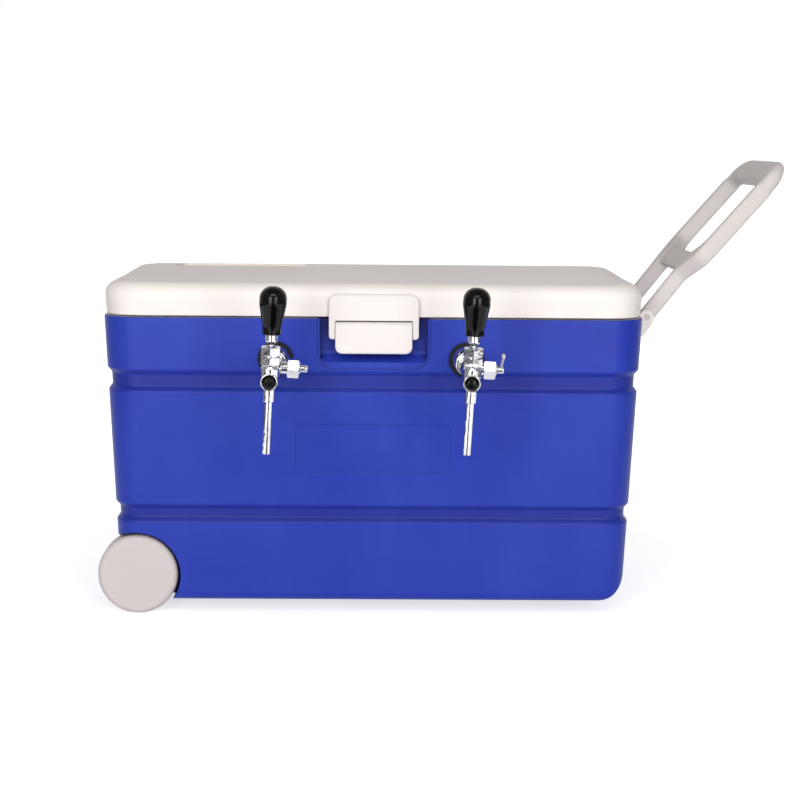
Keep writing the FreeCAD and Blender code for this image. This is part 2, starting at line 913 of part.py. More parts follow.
def pocket_back_y(z):
    """The y of the latch pocket's back wall at a height."""
    start = -wall_y(latch_pocket_bottom) + latch_pocket_depth
    return start - (z - latch_pocket_bottom) * slope


def catch_face_y():
    """The y of the face that the flap's hook passes."""
    return flap_back_y() + hook_height


def flap_back_y():
    return flap_y - barrel_radius + flap_thickness


def latch_housing(lid_block):
    """The frame on the lid's front, with an ear on each side of the flap."""
    half = latch_width / 2
    back = -(core_y + corner_radius - lid_inset) + 1.0
    corners = [(-half, ear_bottom_z, ear_radius), (half, ear_bottom_z, ear_radius),
               (half, latch_top_z, latch_radius), (-half, latch_top_z, latch_radius)]
    block = extruded(corners, to_xz, V(0, 30, 0), V(0, latch_face_y, 0))
    side = [(latch_face_y, ear_bottom_z, 3.0), (back, ear_bottom_z, 2.0), (back, tub_height + lid_gap),
            (0, tub_height + lid_gap), (0, latch_top_z), (latch_face_y + 2.5, latch_top_z, 1.0),
            (latch_face_y, latch_top_z - 4.0, 2.0)]
    block = block.common(extruded(side, to_yz, V(latch_width, 0, 0), V(-half, 0, 0)))
    room = barrel_radius + flap_tilt_gap
    opening = [(latch_face_y - 5, ear_bottom_z - 1), (back + 5, ear_bottom_z - 1),
               (back + 5, flap_axis_z + room), (latch_face_y - 5, flap_axis_z + room)]
    gap = flap_width / 2 + flap_gap
    window = extruded(opening, to_yz, V(2 * gap, 0, 0), V(-gap, 0, 0))
    bore = cylinder_x(pin_radius, -half, latch_width, flap_y, flap_axis_z)
    return block.cut([lid_block, window, bore]).removeSplitter()


def latch_flap():
    """The flap that swings up on the pin: a barrel, a plate and a hook behind its foot."""
    half = flap_width / 2
    front = flap_y - barrel_radius
    back = flap_back_y()
    barrel = cylinder_x(barrel_radius, -half, flap_width, flap_y, flap_axis_z)
    front_view = [(-half, flap_bottom_z, flap_radius), (half, flap_bottom_z, flap_radius),
                  (half, flap_axis_z), (-half, flap_axis_z)]
    plate = extruded(front_view, to_xz, V(0, flap_thickness, 0), V(0, front, 0))
    lip = [(front, flap_bottom_z, 2.5), (back, flap_bottom_z, 1.0), (back, flap_axis_z), (front, flap_axis_z)]
    plate = plate.common(extruded(lip, to_yz, V(flap_width, 0, 0), V(-half, 0, 0)))
    hook_z = catch_z - catch_height / 2 - hook_height - 0.5
    tip = back + hook_height - 0.5
    tooth = [(back - 1, hook_z), (tip, hook_z + 2.0, 0.8), (tip, hook_z + hook_height, 0.8),
             (back - 1, hook_z + hook_height)]
    hook = extruded(tooth, to_yz, V(hook_width, 0, 0), V(-hook_width / 2, 0, 0))
    flap = fused([barrel, plate, hook])
    return flap.cut(cylinder_x(pin_radius + pin_gap, -half - 1, flap_width + 2, flap_y, flap_axis_z))


def latch_pin():
    return cylinder_x(pin_radius, -latch_width / 2 + 1.0, latch_width - 2.0, flap_y, flap_axis_z)


def latch_catch():
    """The block in the pocket that the flap's hook snaps under."""
    low, high = catch_z - catch_height / 2, catch_z + catch_height / 2
    face = catch_face_y()
    corners = [(face, low, 1.0), (pocket_back_y(low), low), (pocket_back_y(high), high), (face, high, 2.0)]
    block = extruded(corners, to_yz, V(catch_width, 0, 0), V(-catch_width / 2, 0, 0))
    return block.cut([cylinder_y(screw_radius, p.y - 1.0, 30.0, p.x, p.z) for p in catch_screw_places()])


# Tow handle

def through_slab(corners):
    """A tall prism from an outline in the plane of the tow handle."""
    return extruded(corners, to_xy, V(0, 0, 6 * arm_width), V(0, 0, -3 * arm_width))


def handle_plan():
    """The handle from above: arms that widen into the grip, with two windows."""
    outer = (arm_spacing + arm_thickness) / 2
    inner = (arm_spacing - arm_thickness) / 2
    grip_outer = (grip_spacing + arm_thickness) / 2
    grip_inner = (grip_spacing - arm_thickness) / 2
    bar_end = crossbar_start + crossbar_width
    half = [(-arm_width, outer), (crossbar_start - 6, outer, 18.0), (bar_end - 4, grip_outer, 18.0),
            (handle_length, grip_outer, grip_corner)]
    window = [(bar_end, inner, 4.0), (bar_end + 16, grip_inner, 14.0),
              (handle_length - grip_width, grip_inner, window_corner)]
    whole = half + [(x, -y, *rest) for x, y, *rest in reversed(half)]
    hole_outline = window + [(x, -y, *rest) for x, y, *rest in reversed(window)]
    lower = rectangle(-arm_width, -inner, crossbar_start, inner)
    return through_slab(whole).cut([through_slab(lower), through_slab(hole_outline)])


def handle_side():
    """The handle from the side: straight arms, a step down, and the grip part sloping on."""
    half = arm_width / 2
    grip_half = grip_section / 2
    start, stop = crossbar_start - 4, crossbar_start - 4 + arm_jog_length

    def middle(x):
        return -arm_jog - (x - stop) * math.tan(math.radians(grip_slope))

    end = handle_length
    return [(-half, half, half - 0.1), (-half, -half, half - 0.1), (start, -half, 20.0),
            (stop, middle(stop) - grip_half, 20.0), (end - 24, middle(end - 24) - grip_half, 16.0),
            (end, middle(end) - 4.0, 4.2), (end, middle(end) + grip_half - 4.0, 6.5),
            (end - 20, middle(end - 20) + grip_half, 20.0), (stop + 4, middle(stop + 4) + grip_half, 20.0),
            (start + 4, half, 20.0)]


def tow_handle():
    """The U-shaped handle, made lying along X from its pivot and then swung up to rest."""
    reach = grip_spacing / 2 + arm_thickness
    rim = handle_plan().common(extruded(handle_side(), to_xz, V(0, 2 * reach, 0), V(0, -reach, 0)))
    inner = (arm_spacing - arm_thickness) / 2
    spare = (arm_width - crossbar_thickness) / 2
    low = -arm_jog / 2 - crossbar_thickness / 2
    bar_x = crossbar_start - 1
    thinning = [Part.makeBox(crossbar_width + 2, 2 * inner, 2 * spare, V(bar_x, -inner, z))
                for z in (low - 2 * spare, low + crossbar_thickness)]
    bore = cylinder_y(handle_pin_radius + pin_gap, -reach, 2 * reach)
    handle = rim.cut(thinning + [bore]).removeSplitter()
    handle.rotate(V(0, 0, 0), V(0, 1, 0), -handle_angle)
    handle.translate(V(handle_x, 0, handle_z))
    return handle


def handle_bracket(side):
    """A bracket on the end wall: a base plate, and two cheeks that hold the arm's pin."""
    middle = side * arm_spacing / 2
    inner = arm_thickness / 2 + cheek_gap
    low, high = bracket_bottom_z, tub_height - 3.0
    half = bracket_half()
    base_side = [(wall_x(low), low), (wall_x(low) + bracket_base, low, 1.0),
                 (wall_x(high) + bracket_base, high, 1.0), (wall_x(high), high)]
    base = extruded(base_side, to_xz, V(0, 2 * half, 0), V(0, middle - half, 0))
    face = rectangle(middle - half, low, middle + half, high, 5.0)
    mask = extruded(face, to_yz, V(60, 0, 0), V(handle_x - 40, 0, 0))
    slot = Part.makeBox(60, 2 * inner, 60, V(handle_x - 40, middle - inner, low + bracket_bridge))
    pieces = [base.common(mask).cut(slot)]
    eye = bracket_eye_radius
    foot_z = low + 2
    cheek_side = [(wall_x(foot_z), foot_z), (wall_x(foot_z) + eye, foot_z, 3.0),
                  (handle_x + eye, handle_z - 6, 5.0), (handle_x + eye, handle_z + eye, eye - 0.1),
                  (handle_x - eye, handle_z + eye, eye - 0.1),
                  (handle_x - eye, high), (wall_x(high), high)]
    for edge in (-1, 1):
        y = middle + edge * (inner + cheek_thickness / 2) - cheek_thickness / 2
        pieces.append(extruded(cheek_side, to_xz, V(0, cheek_thickness, 0), V(0, y, 0)))
    cuts = [cylinder_y(handle_pin_radius, middle - half, 2 * half, handle_x, handle_z)]
    return fused(pieces).cut(cuts + bracket_screw_holes())


def handle_pins():
    """A pin through each bracket and arm, its head on the bracket's inner side."""
    pins = []
    half = arm_thickness / 2 + cheek_gap + cheek_thickness
    for side in (-1, 1):
        middle = side * arm_spacing / 2
        rod = cylinder_y(handle_pin_radius, middle - half, 2 * half, handle_x, handle_z)
        inside = middle - side * half
        start = inside - pin_head_height if side > 0 else inside
        head = cylinder_y(handle_pin_radius + pin_head_lip, start, pin_head_height, handle_x, handle_z)
        pins.append(rod.fuse(head))
    return group(pins)


# Wheels and axle

def wheel(side):
    """A plain-faced wheel, open at the back, with ribs between hub and rim."""
    face = wheel_width
    edge = wheel_edge
    rim = wheel_radius - wheel_wall
    shell = [(0, face), (wheel_radius, face, edge), (wheel_radius, 0, 2.0), (rim, 0, 1.0),
             (rim, face - wheel_wall, edge - wheel_wall + 0.5), (0, face - wheel_wall)]
    pieces = [turned(shell), cylinder_z(hub_radius, 0, face - wheel_wall + 0.5)]
    for k in range(wheel_ribs):
        rib = Part.makeBox(rim - hub_radius + 4, rib_thickness, face - wheel_wall - 2.5,
                           V(hub_radius - 2, -rib_thickness / 2, 3.0))
        rib.rotate(V(0, 0, 0), V(0, 0, 1), 360.0 / wheel_ribs * k)
        pieces.append(rib)
    solid = fused(pieces)
    solid = solid.cut(cylinder_z(axle_radius + bore_gap, -1, wheel_width - wheel_wall))
    seat = V(wheel_x, side * (wall_y(wheel_z) - wheel_width), wheel_z)
    solid.Placement = FreeCAD.Placement(seat, FreeCAD.Rotation(V(0, 0, 1), V(0, side, 0)))
    return solid


def axle():
    """The axle with a spacer collar inboard of each wheel."""
    half = wall_y(wheel_z) - wheel_wall - axle_end_gap - 0.5
    rod = cylinder_y(axle_radius, -half, 2 * half, wheel_x, wheel_z)
    inner = wall_y(wheel_z) - pocket_depth + 0.3
    outer = wall_y(wheel_z) - wheel_width - 0.3
    collars = [cylinder_y(spacer_radius, inner if side > 0 else -outer, outer - inner, wheel_x, wheel_z)
               for side in sides.values()]
    return fused([rod] + collars)


def axle_clips():
    """Two saddles pushed into the channel under the axle."""
    clips = []
    half = axle_radius + channel_gap
    for side in (-1, 1):
        corner = V(wheel_x - half, side * clip_spacing / 2 - clip_length / 2, wheel_z - clip_height)
        block = Part.makeBox(2 * half, clip_length, clip_height - 1.5, corner)
        clips.append(block.cut(cylinder_y(axle_radius, -tub_depth / 2, tub_depth, wheel_x, wheel_z)))
    return group(clips)


# Drain

def drain_inside_x():
    return liner_x - (tub_height - drain_z) * slope


def drain_seat_x():
    return wall_x(drain_z) - drain_recess


def drain_fitting():
    """A flanged tube through the end wall, its flange in the recess."""
    seat = drain_seat_x()
    start = drain_inside_x() - 1.0
    tube = cylinder_x(drain_radius, start, seat - start, 0, drain_z)
    flange = cylinder_x(drain_flange_radius, seat, drain_flange, 0, drain_z)
    bore = cylinder_x(drain_bore, start - 1, seat - start + drain_flange + 2, 0, drain_z)
    return tube.fuse(flange).cut(bore)


def drain_plug():
    """A stopper with a ribbed cap, pushed into the drain's bore."""
    seat = drain_seat_x() + drain_flange + seal_gap
    stem = cylinder_x(drain_bore - plug_stem_gap, seat - 22.0, 22.0, 0, drain_z)
    cap = cylinder_x(plug_cap_radius, seat, plug_cap_height, 0, drain_z)
    rim = [e for e in cap.Edges if e.BoundBox.XMin > seat + 1 and e.BoundBox.XLength < 1]
    cap = cap.makeFillet(1.5, rim)
    plug = stem.fuse(cap)
    for k in range(12):
        rib = cylinder_x(1.2, seat + 1.0, plug_cap_height - 3.0, plug_cap_radius, 0)
        rib.rotate(V(0, 0, 0), V(1, 0, 0), 30.0 * k)
        rib.translate(V(0, 0, drain_z))
        plug = plug.cut(rib)
    return plug


# Taps, each made at the wall with -Y out of it and Z up

def tap_place(side):
    """A tap's place on the wall, with its small lean about the shank."""
    lean = FreeCAD.Placement(V(0, 0, 0), FreeCAD.Rotation(V(0, 1, 0), tap_lean))
    return wall_place(taps[side], tap_z).multiply(lean)


def along_shank(solid):
    """Turns a solid made up the Z axis to point out along the shank."""
    moved = solid.copy()
    moved.rotate(V(0, 0, 0), V(1, 0, 0), 90)
    return moved


def at_column(solid):
    """Moves a solid made round the Z axis to the tap's upright axis."""
    moved = solid.copy()
    moved.translate(V(0, -column_u, 0))
    return moved


def inner_wall():
    """How far inside the outer face the liner's face lies, square to the wall."""
    return side_thickness * math.cos(math.radians(draft_angle))


def tail_end():
    return inner_wall() + washer_thickness + lock_nut_length + tail_start + tail_length


def wall_ring(start, outer, bore, thickness):
    """A flat ring round the shank's axis."""
    ring = Part.makeCylinder(outer, thickness, V(0, 0, start))
    return along_shank(ring.cut(Part.makeCylinder(bore, thickness, V(0, 0, start))))


def tail_corners():
    """The barbed tail inside the tub, from its tip to its root."""
    tip = -tail_end()
    root = tip + tail_length
    corners = [(tail_bore, tip), (tail_radius - 0.7, tip)]
    for k in range(3):
        corners.append((tail_radius, tip + 4.0 * (k + 1)))
        corners.append((tail_radius - 0.5, tip + 4.0 * (k + 1)))
    return corners + [(tail_radius - 0.5, root)]


def shank():
    """A flanged threaded tube through the wall, with a barbed tail inside."""
    base = washer_thickness
    root = tail_length - tail_end()
    top = base + flange_length
    corners = tail_corners()
    corners += [(shank_radius, root, 1.0), (shank_radius, base), (flange_radius, base, 0.5),
                (flange_radius, base + 1.6, 1.0), (flange_nose_radius, top, 2.0), (shank_radius, top),
                (shank_radius, shank_nose, 0.6), (tail_bore, shank_nose)]
    return along_shank(turned(corners))


def coupling_nut():
    """The round nut with spanner slots that pulls the tap onto the shank."""
    start, stop = coupling_start, coupling_start + coupling_length
    bore = shank_radius + pin_gap
    nut = turned([(bore, start), (coupling_radius, start, 1.5), (coupling_radius, stop, 2.0), (bore, stop)])
    for k in range(coupling_slots):
        corner = V(coupling_radius - 1.8, -2.0, start + coupling_length / 4)
        slot = Part.makeBox(4.0, 4.0, coupling_length / 2, corner)
        slot.rotate(V(0, 0, 0), V(0, 0, 1), 360.0 / coupling_slots * k + 45.0)
        nut = nut.cut(slot)
    return along_shank(nut)


def lock_nut(width, bore):
    """A hexagonal nut inside the tub, on its washer."""
    start = -inner_wall() - washer_thickness - lock_nut_length
    nut = hexagon(width, start, lock_nut_length)
    return along_shank(nut.cut(cylinder_z(bore, start - 1, lock_nut_length + 2)))


def column_solid():
    """The upright body of a tap round its spout's axis."""
    waist = column_radius * 0.82
    hex_z = column_top - column_hex_length
    foot = spout_collar_radius + 0.4
    upright = [(0, -column_bottom), (foot, -column_bottom, 0.8), (column_radius, -2.0, 8.0),
               (column_radius, hex_z - 4.0, 3.0), (waist, hex_z - 0.5, 0.8), (waist, hex_z + 1),
               (0, hex_z + 1)]
    return at_column(turned(upright).fuse(hexagon(column_hex, hex_z, column_hex_length)))


def tap_body():
    """The body: barrel, upright, front boss and flow-control neck."""
    r = tap_barrel_radius
    barrel = turned([(0, shank_nose), (r - 0.6, shank_nose, 0.5), (r, shank_nose + 5.0, 2.0),
                     (r, flow_u + 12.0, 4.0), (r * 0.78, flow_u + 22.0, 12.0), (r * 0.86, column_u),
                     (0, column_u)])
    rim = cap_radius + cap_rim
    boss = cylinder_z(rim, column_u, cap_reach)
    boss = along_shank(boss.makeFillet(1.0, [e for e in boss.Edges if e.BoundBox.ZMin > column_u + 1]))
    boss.translate(V(0, 0, cap_z))
    neck = cylinder_x(flow_neck_radius, 0, flow_neck_length, -flow_u, 0)
    body = fused([along_shank(barrel), column_solid(), boss, neck])
    socket = cylinder_y(cap_radius, -column_u - cap_reach - 1.0, 3.0, 0, cap_z)
    well_z = column_top - ball_depth * 1.4
    well = turned([(0, well_z), (ball_radius - 2, well_z, 1.5), (bonnet_bore, column_top - 4.0),
                   (bonnet_bore, column_top + 1), (0, column_top + 1)])
    well = at_column(well)
    down = cylinder_z(spout_bore, -column_bottom - 1, column_bottom + column_top - ball_depth, 0, -column_u)
    through = along_shank(cylinder_z(tail_bore, shank_nose - 1, column_u - shank_nose))
    stem_hole = cylinder_x(flow_stem_radius + flow_gap, flow_neck_length - 8.0, 10.0, -flow_u, 0)
    collar = cylinder_z(spout_collar_radius + hole_gap, -column_bottom - 10.0, 10.0, 0, -column_u)
    return body.cut([socket, well, down, through, stem_hole, collar])


def bonnet_top():
    return column_top + bonnet_gap + bonnet_length


def ball_z():
    return bonnet_top() - ball_depth


def tap_bonnet():
    """The hexagonal bonnet over the lever's ball."""
    low, top = column_top, bonnet_top()
    neck = column_hex / 2 - 1.4
    ring = turned([(0, low), (neck, low), (neck, low + bonnet_gap + 0.5), (0, low + bonnet_gap + 0.5)])
    nut = ring.fuse(hexagon(column_hex, low + bonnet_gap, bonnet_length))
    bore = turned([(0, low - 1), (bonnet_bore, low - 1), (bonnet_bore, top - 3.2), (bonnet_mouth, top),
                   (bonnet_mouth, top + 1), (0, top + 1)])
    return at_column(nut.cut(bore))


def tap_lever():
    """The lever: a ball in the bonnet, a rod and the ferrule under the knob."""
    ball = Part.makeSphere(ball_radius, V(0, 0, ball_z()))
    rod = cylinder_z(lever_radius, ball_z(), knob_z + 16.0 - ball_z())
    foot_z = bonnet_top() + ferrule_gap
    ferrule = turned([(0, foot_z), (lever_radius + 0.4, foot_z), (ferrule_radius, foot_z + ferrule_cone, 1.5),
                      (ferrule_radius, knob_z), (0, knob_z)])
    return at_column(fused([ball, rod, ferrule]))


def tap_knob():
    """The bottle-shaped knob."""
    top = knob_z + knob_length
    corners = [(0, knob_z), (knob_base_radius, knob_z, 1.0), (knob_neck_radius, knob_z + 8.0, 30.0),
               (knob_radius, top - 20.0, 24.0), (knob_radius - 0.9, top, knob_dome_radius), (0, top)]
    return at_column(turned(corners).cut(cylinder_z(lever_radius, knob_z - 1, 17.0)))


def tap_spout():
    """The screwed-in spout: a collar and the pouring tube."""
    top = -column_bottom
    shoulder = top - spout_collar_length
    tip = top - spout_length
    corners = [(spout_bore, top), (spout_collar_radius, top, 0.5), (spout_collar_radius, shoulder, 0.8),
               (spout_radius, shoulder), (spout_radius, tip, 0.4), (spout_bore, tip)]
    return at_column(turned(corners))


def cap_marks(side):
    """What is cut into a front cap: a slanting screwdriver slot, or upright ribs."""
    reach = 2 * cap_radius
    high = 2.0 + cap_dome
    if side == "right":
        low = high - cap_slot_depth
        slot = Part.makeBox(cap_slot_width, reach, reach, V(-cap_slot_width / 2, -reach / 2, low))
        slot.rotate(V(0, 0, 0), V(0, 0, 1), cap_slot_angle)
        return [slot]
    low = high - 2 * cap_rib_depth
    width = cap_rib_pitch / 2
    count = int(cap_radius / cap_rib_pitch)
    return [Part.makeBox(width, reach, reach, V(k * cap_rib_pitch - width / 2, -reach / 2, low))
            for k in range(-count, count + 1)]


def tap_front_cap(side):
    """The domed cap in the boss at the front of the body."""
    r = cap_radius
    cap = turned([(0, 0), (r, 0), (r, 2.2, 0.6), (r * 0.6, 2.0 + cap_dome * 0.8, 4.0), (0, 2.0 + cap_dome)])
    cap = along_shank(cap.cut(cap_marks(side)))
    cap.translate(V(0, 2.0 - column_u - cap_reach, cap_z))
    return cap


def flow_nut():
    """The hexagonal nut of the flow control, with its collar."""
    stop = flow_neck_length + flow_nut_length
    collar = cylinder_z(flow_neck_radius - 1, stop - 1, 2.5)
    bore = cylinder_z(flow_stem_radius + flow_gap, flow_neck_length - 1, flow_nut_length + 4)
    nut = hexagon(flow_nut_width, flow_neck_length, flow_nut_length).fuse(collar).cut(bore)
    nut.Placement = FreeCAD.Placement(V(0, -flow_u, 0), FreeCAD.Rotation(V(0, 0, 1), V(1, 0, 0)))
    return nut


def flow_lever(side):
    """The flow control's stem and hub, with a flared arm that ends in a ball."""
    start = flow_neck_length - 6.0
    hub = flow_neck_length + flow_nut_length + 1.8
    stem = cylinder_x(flow_stem_radius, start, hub - start + 1)
    boss = turned([(0, hub), (flow_hub_radius, hub, 0.5), (flow_hub_radius, hub + flow_hub_length, 1.2),
                   (0, hub + flow_hub_length)], V(1, 0, 0))
    r = flow_arm_radius
    reach = flow_arm_length - flow_ball_radius
    arm = turned([(0, 0), (r, 0), (r, reach - 6.0, 12.0), (r * 1.6, reach - 1.0, 0.8), (r * 1.6, reach),
                  (0, reach)])
    arm = arm.fuse(Part.makeSphere(flow_ball_radius, V(0, 0, reach + flow_ball_radius * 0.7)))
    arm.rotate(V(0, 0, 0), V(0, 1, 0), 8.0)
    arm.translate(V(hub + flow_hub_length / 2, 0, 0))
    lever = fused([stem, boss, arm])
    lever.rotate(V(0, 0, 0), V(1, 0, 0), flow_turns[side])
    lever.translate(V(0, -flow_u, 0))
    return lever


# Coils, hoses and rear inlets

def tangent_arc(start, way, stop):
    """The arc from start, leaving along way, that ends at stop."""
    chord = stop.sub(start)
    inward = way.cross(chord).normalize().cross(way)
    radius = chord.dot(chord) / (2 * chord.dot(inward))
    centre = start.add(inward * radius)
    outward = (start.add(stop) * 0.5).sub(centre).normalize()
    return Part.Arc(start, centre.add(outward * abs(radius)), stop).toShape()


def biarc(start, start_way, stop, stop_way):
    """Two arcs from start to stop, tangent to both ways and to each other."""
    span = stop.sub(start)
    a = 2 * (1 - start_way.dot(stop_way))
    b = 2 * span.dot(start_way.add(stop_way))
    c = -span.dot(span)
    reach = (math.sqrt(b * b - 4 * a * c) - b) / (2 * a)
    first = start.add(start_way * reach)
    second = stop.sub(stop_way * reach)
    middle = first.add(second) * 0.5
    return [tangent_arc(start, start_way, middle), tangent_arc(middle, second.sub(first).normalize(), stop)]


def bent_route(points, radius):
    """Straight runs through points, each inner point turned by a tangent arc."""
    edges = []
    last = points[0]
    for i in range(1, len(points) - 1):
        before = points[i - 1].sub(points[i]).normalize()
        after = points[i + 1].sub(points[i]).normalize()
        half_turn = before.getAngle(after) / 2
        middle = before.add(after).normalize()
        start = points[i].add(before * (radius / math.tan(half_turn)))
        stop = points[i].add(after * (radius / math.tan(half_turn)))
        top = points[i].add(middle * (radius / math.sin(half_turn) - radius))
        edges.append(Part.LineSegment(last, start).toShape())
        edges.append(Part.Arc(start, top, stop).toShape())
        last = stop
    edges.append(Part.LineSegment(last, points[-1]).toShape())
    return edges


def tube_along(edges, radius):
    """A round bar along a path of tangent edges."""
    first = edges[0]
    start = first.valueAt(first.FirstParameter)
    ring = Part.Wire([Part.makeCircle(radius, start, first.tangentAt(first.FirstParameter))])
    return Part.Wire(edges).makePipeShell([ring], True, False)


def coil_rise():
    """How far the coil climbs for each millimetre along it, seen from above."""
    return coil_pitch / (2 * math.pi * coil_radius)


def coil_edges():
    """A coil's centre line: down a riser at the rear, up the turns, and up a riser at the front."""
    low = floor_thickness + tube_radius + coil_floor_gap + coil_rise() * (coil_run - coil_bend)
    points = []
    ways = []
    for k in range(4 * coil_turns + 3):
        angle = math.pi / 2 * (k + 1)
        x, y = coil_radius * math.cos(angle), coil_radius * math.sin(angle)
        points.append(V(x, y, low + coil_pitch * k / 4))
        ways.append(V(-math.sin(angle), math.cos(angle), coil_rise()).normalize())
    foot_point = points[0].sub(ways[0] * coil_run)
    head_point = points[-1].add(ways[-1] * coil_run)
    edges = bent_route([V(foot_point.x, foot_point.y, riser_top), foot_point, points[0]], coil_bend)
    for i in range(len(points) - 1):
        edges += biarc(points[i], ways[i], points[i + 1], ways[i + 1])
    return edges + bent_route([points[-1], head_point, V(head_point.x, head_point.y, riser_top)], coil_bend)


def coil():
    """One cooling coil round the Z axis."""
    return tube_along(coil_edges(), tube_radius)


def least_gap(edges, radius):
    """The least gap between two turns of a tube, measured on points along its centre line."""
    points = []
    travelled = []
    total = 0.0
    for edge in edges:
        count = max(2, int(edge.Length / 6.0))
        for point in edge.discretize(count)[:-1]:
            points.append(point)
            travelled.append(total)
            total += edge.Length / (count - 1)
    apart = 6.0 * math.pi * radius
    nearest = min(points[i].distanceToPoint(points[j]) for i in range(len(points)) for j in range(i)
                  if travelled[i] - travelled[j] > apart)
    return nearest - 2 * radius


def riser(side, end):
    """A riser's place over the floor: end is -1 at the front and 1 at the rear."""
    return V(taps[side] + coil_run, end * coil_radius, 0)


def hose_points(place, side, end):
    """A hose's route from a riser's top to the barbed tail of the fitting at place."""
    stop = place.multVec(V(0, tail_end() - hose_overlap, 0))
    over = place.multVec(V(0, hose_reach, 0))
    stand = riser(side, end)
    return [V(stand.x, stand.y, riser_top - hose_overlap), V(stand.x, stand.y, over.z),
            V(stand.x, over.y, over.z), over, stop]


def hose(place, side, end):
    """A beer hose with its bore."""
    edges = bent_route(hose_points(place, side, end), hose_bend)
    return tube_along(edges, hose_radius).cut(tube_along(edges, hose_radius - hose_wall))


def hose_clamps():
    """A clamp round each end of each hose."""
    clamps = []
    outer = hose_radius + clamp_thickness
    for side in taps:
        for end, place in ((-1, tap_place(side)), (1, inlet_place(side))):
            stand = riser(side, end)
            band = Part.makeCylinder(outer, clamp_width).cut(Part.makeCylinder(hose_radius, clamp_width))
            upright = band.copy()
            upright.translate(V(stand.x, stand.y, riser_top - hose_overlap / 2 - clamp_width / 2))
            level = along_shank(band)
            level.translate(V(0, tail_end() - hose_overlap / 2 + clamp_width / 2, 0))
            clamps += [upright, placed(level, place)]
    return group(clamps)


def inlet_place(side):
    return wall_place(taps[side], tap_z, front=False)


def inlet_fitting():
    """A rear inlet: a flanged, threaded tube with a barbed tail inside."""
    root = tail_length - tail_end()
    flange = inlet_flange_length
    corners = tail_corners() + [(inlet_radius, root, 0.8), (inlet_radius, 0), (inlet_flange_radius, 0, 0.5),
                                (inlet_flange_radius, flange, 1.2), (inlet_radius, flange)]
    pitch = 2.0
    for k in range(int((inlet_thread - 4.0) / pitch)):
        corners.append((inlet_radius, flange + 2.0 + pitch * k))
        corners.append((inlet_radius - 0.7, flange + 2.0 + pitch * (k + 0.5)))
    corners += [(inlet_radius, flange + inlet_thread - 2.0), (inlet_radius - 1.2, flange + inlet_thread),
                (tail_bore, flange + inlet_thread)]
    return along_shank(turned(corners))


def tap_nodes():
    """Every piece of the two taps, by node name."""
    nodes = {}
    for side in taps:
        place = tap_place(side)
        pieces = {"tap_body": tap_body(), "tap_bonnet": tap_bonnet(), "tap_lever": tap_lever(),
                  "tap_knob": tap_knob(), "tap_spout": tap_spout(),
                  "tap_front_cap": tap_front_cap(side), "flow_nut": flow_nut(),
                  "flow_lever": flow_lever(side), "shank": shank()}
        for name, solid in pieces.items():
            nodes[name + "_" + side] = placed(solid, place)
    places = [tap_place(side) for side in taps]
    inner = -inner_wall() - washer_thickness
    rings = [wall_ring(0.0, washer_radius, shank_radius, washer_thickness),
             wall_ring(inner, washer_radius - 4.0, shank_radius, washer_thickness)]
    nodes["wall_washers"] = group([placed(ring, p) for p in places for ring in rings])
    nodes["coupling_nuts"] = group([placed(coupling_nut(), p) for p in places])
    nut = lock_nut(lock_nut_width, shank_radius)
    nodes["shank_lock_nuts"] = group([placed(nut, p) for p in places])
    return nodes


def cooling_nodes():
    """Coils, hoses and rear inlets, by node name."""
    nodes = {}
    for side in taps:
        turns = coil()
        turns.translate(V(taps[side], 0, 0))
        nodes["coil_" + side] = turns
        nodes["outlet_hose_" + side] = hose(tap_place(side), side, -1)
        nodes["inlet_hose_" + side] = hose(inlet_place(side), side, 1)
        nodes["inlet_fitting_" + side] = placed(inlet_fitting(), inlet_place(side))
    inner = -inner_wall() - washer_thickness
    washer = wall_ring(inner, inlet_flange_radius, inlet_radius, washer_thickness)
    nut = lock_nut(inlet_nut_width, inlet_radius)
    nodes["inlet_washers"] = group([placed(washer, inlet_place(side)) for side in taps])
    nodes["inlet_lock_nuts"] = group([placed(nut, inlet_place(side)) for side in taps])
    nodes["hose_clamps"] = hose_clamps()
    return nodes


def tub_nodes():
    inside = foam_form()
    return {"outer_shell": outer_shell(outer_form(), inside), "inner_liner": inner_liner(inside),
            "wall_foam": wall_foam(inside), "axle": axle(), "axle_clips": axle_clips(),
            "wheel_front": wheel(-1), "wheel_rear": wheel(1), "drain_fitting": drain_fitting(),
            "drain_plug": drain_plug()}


def lid_nodes():
    block = lid_form(0.0)
    inside = lid_form(lid_wall)
    nodes = {"lid_shell": lid_shell(block, inside), "lid_liner": lid_liner(inside),
             "lid_foam": lid_foam(inside), "lid_seal": lid_seal(), "latch_housing": latch_housing(block),
             "latch_flap": latch_flap(), "latch_pin": latch_pin(), "latch_catch": latch_catch(),
             "hinge_pins": hinge_pins(), "body_screws": body_screws(), "lid_screws": lid_screws()}
    for side, name in ((-1, "left"), (1, "right")):
        nodes["hinge_leaf_body_" + name] = hinge_leaf(side * hinge_x, False)
        nodes["hinge_leaf_lid_" + name] = hinge_leaf(side * hinge_x, True)
    return nodes


def handle_nodes():
    return {"tow_handle": tow_handle(), "handle_bracket_front": handle_bracket(-1),
            "handle_bracket_rear": handle_bracket(1), "handle_pins": handle_pins()}


def main():
    os.makedirs("parts", exist_ok=True)
    nodes = {}
    for make in (tub_nodes, lid_nodes, handle_nodes, tap_nodes, cooling_nodes):
        nodes.update(make())
    for name, shape in nodes.items():
        if not shape.isValid():
            print("not valid:", name)
        shape.exportStep("parts/" + name + ".step")
    print("nodes:", len(nodes))
    gap = least_gap(coil_edges(), tube_radius)
    print("coil tube radius:", tube_radius, "least gap between its turns:", round(gap, 3))
    print("hose radius:", hose_radius)


main()
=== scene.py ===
import json
import math
import bpy
from mathutils import Matrix, Vector


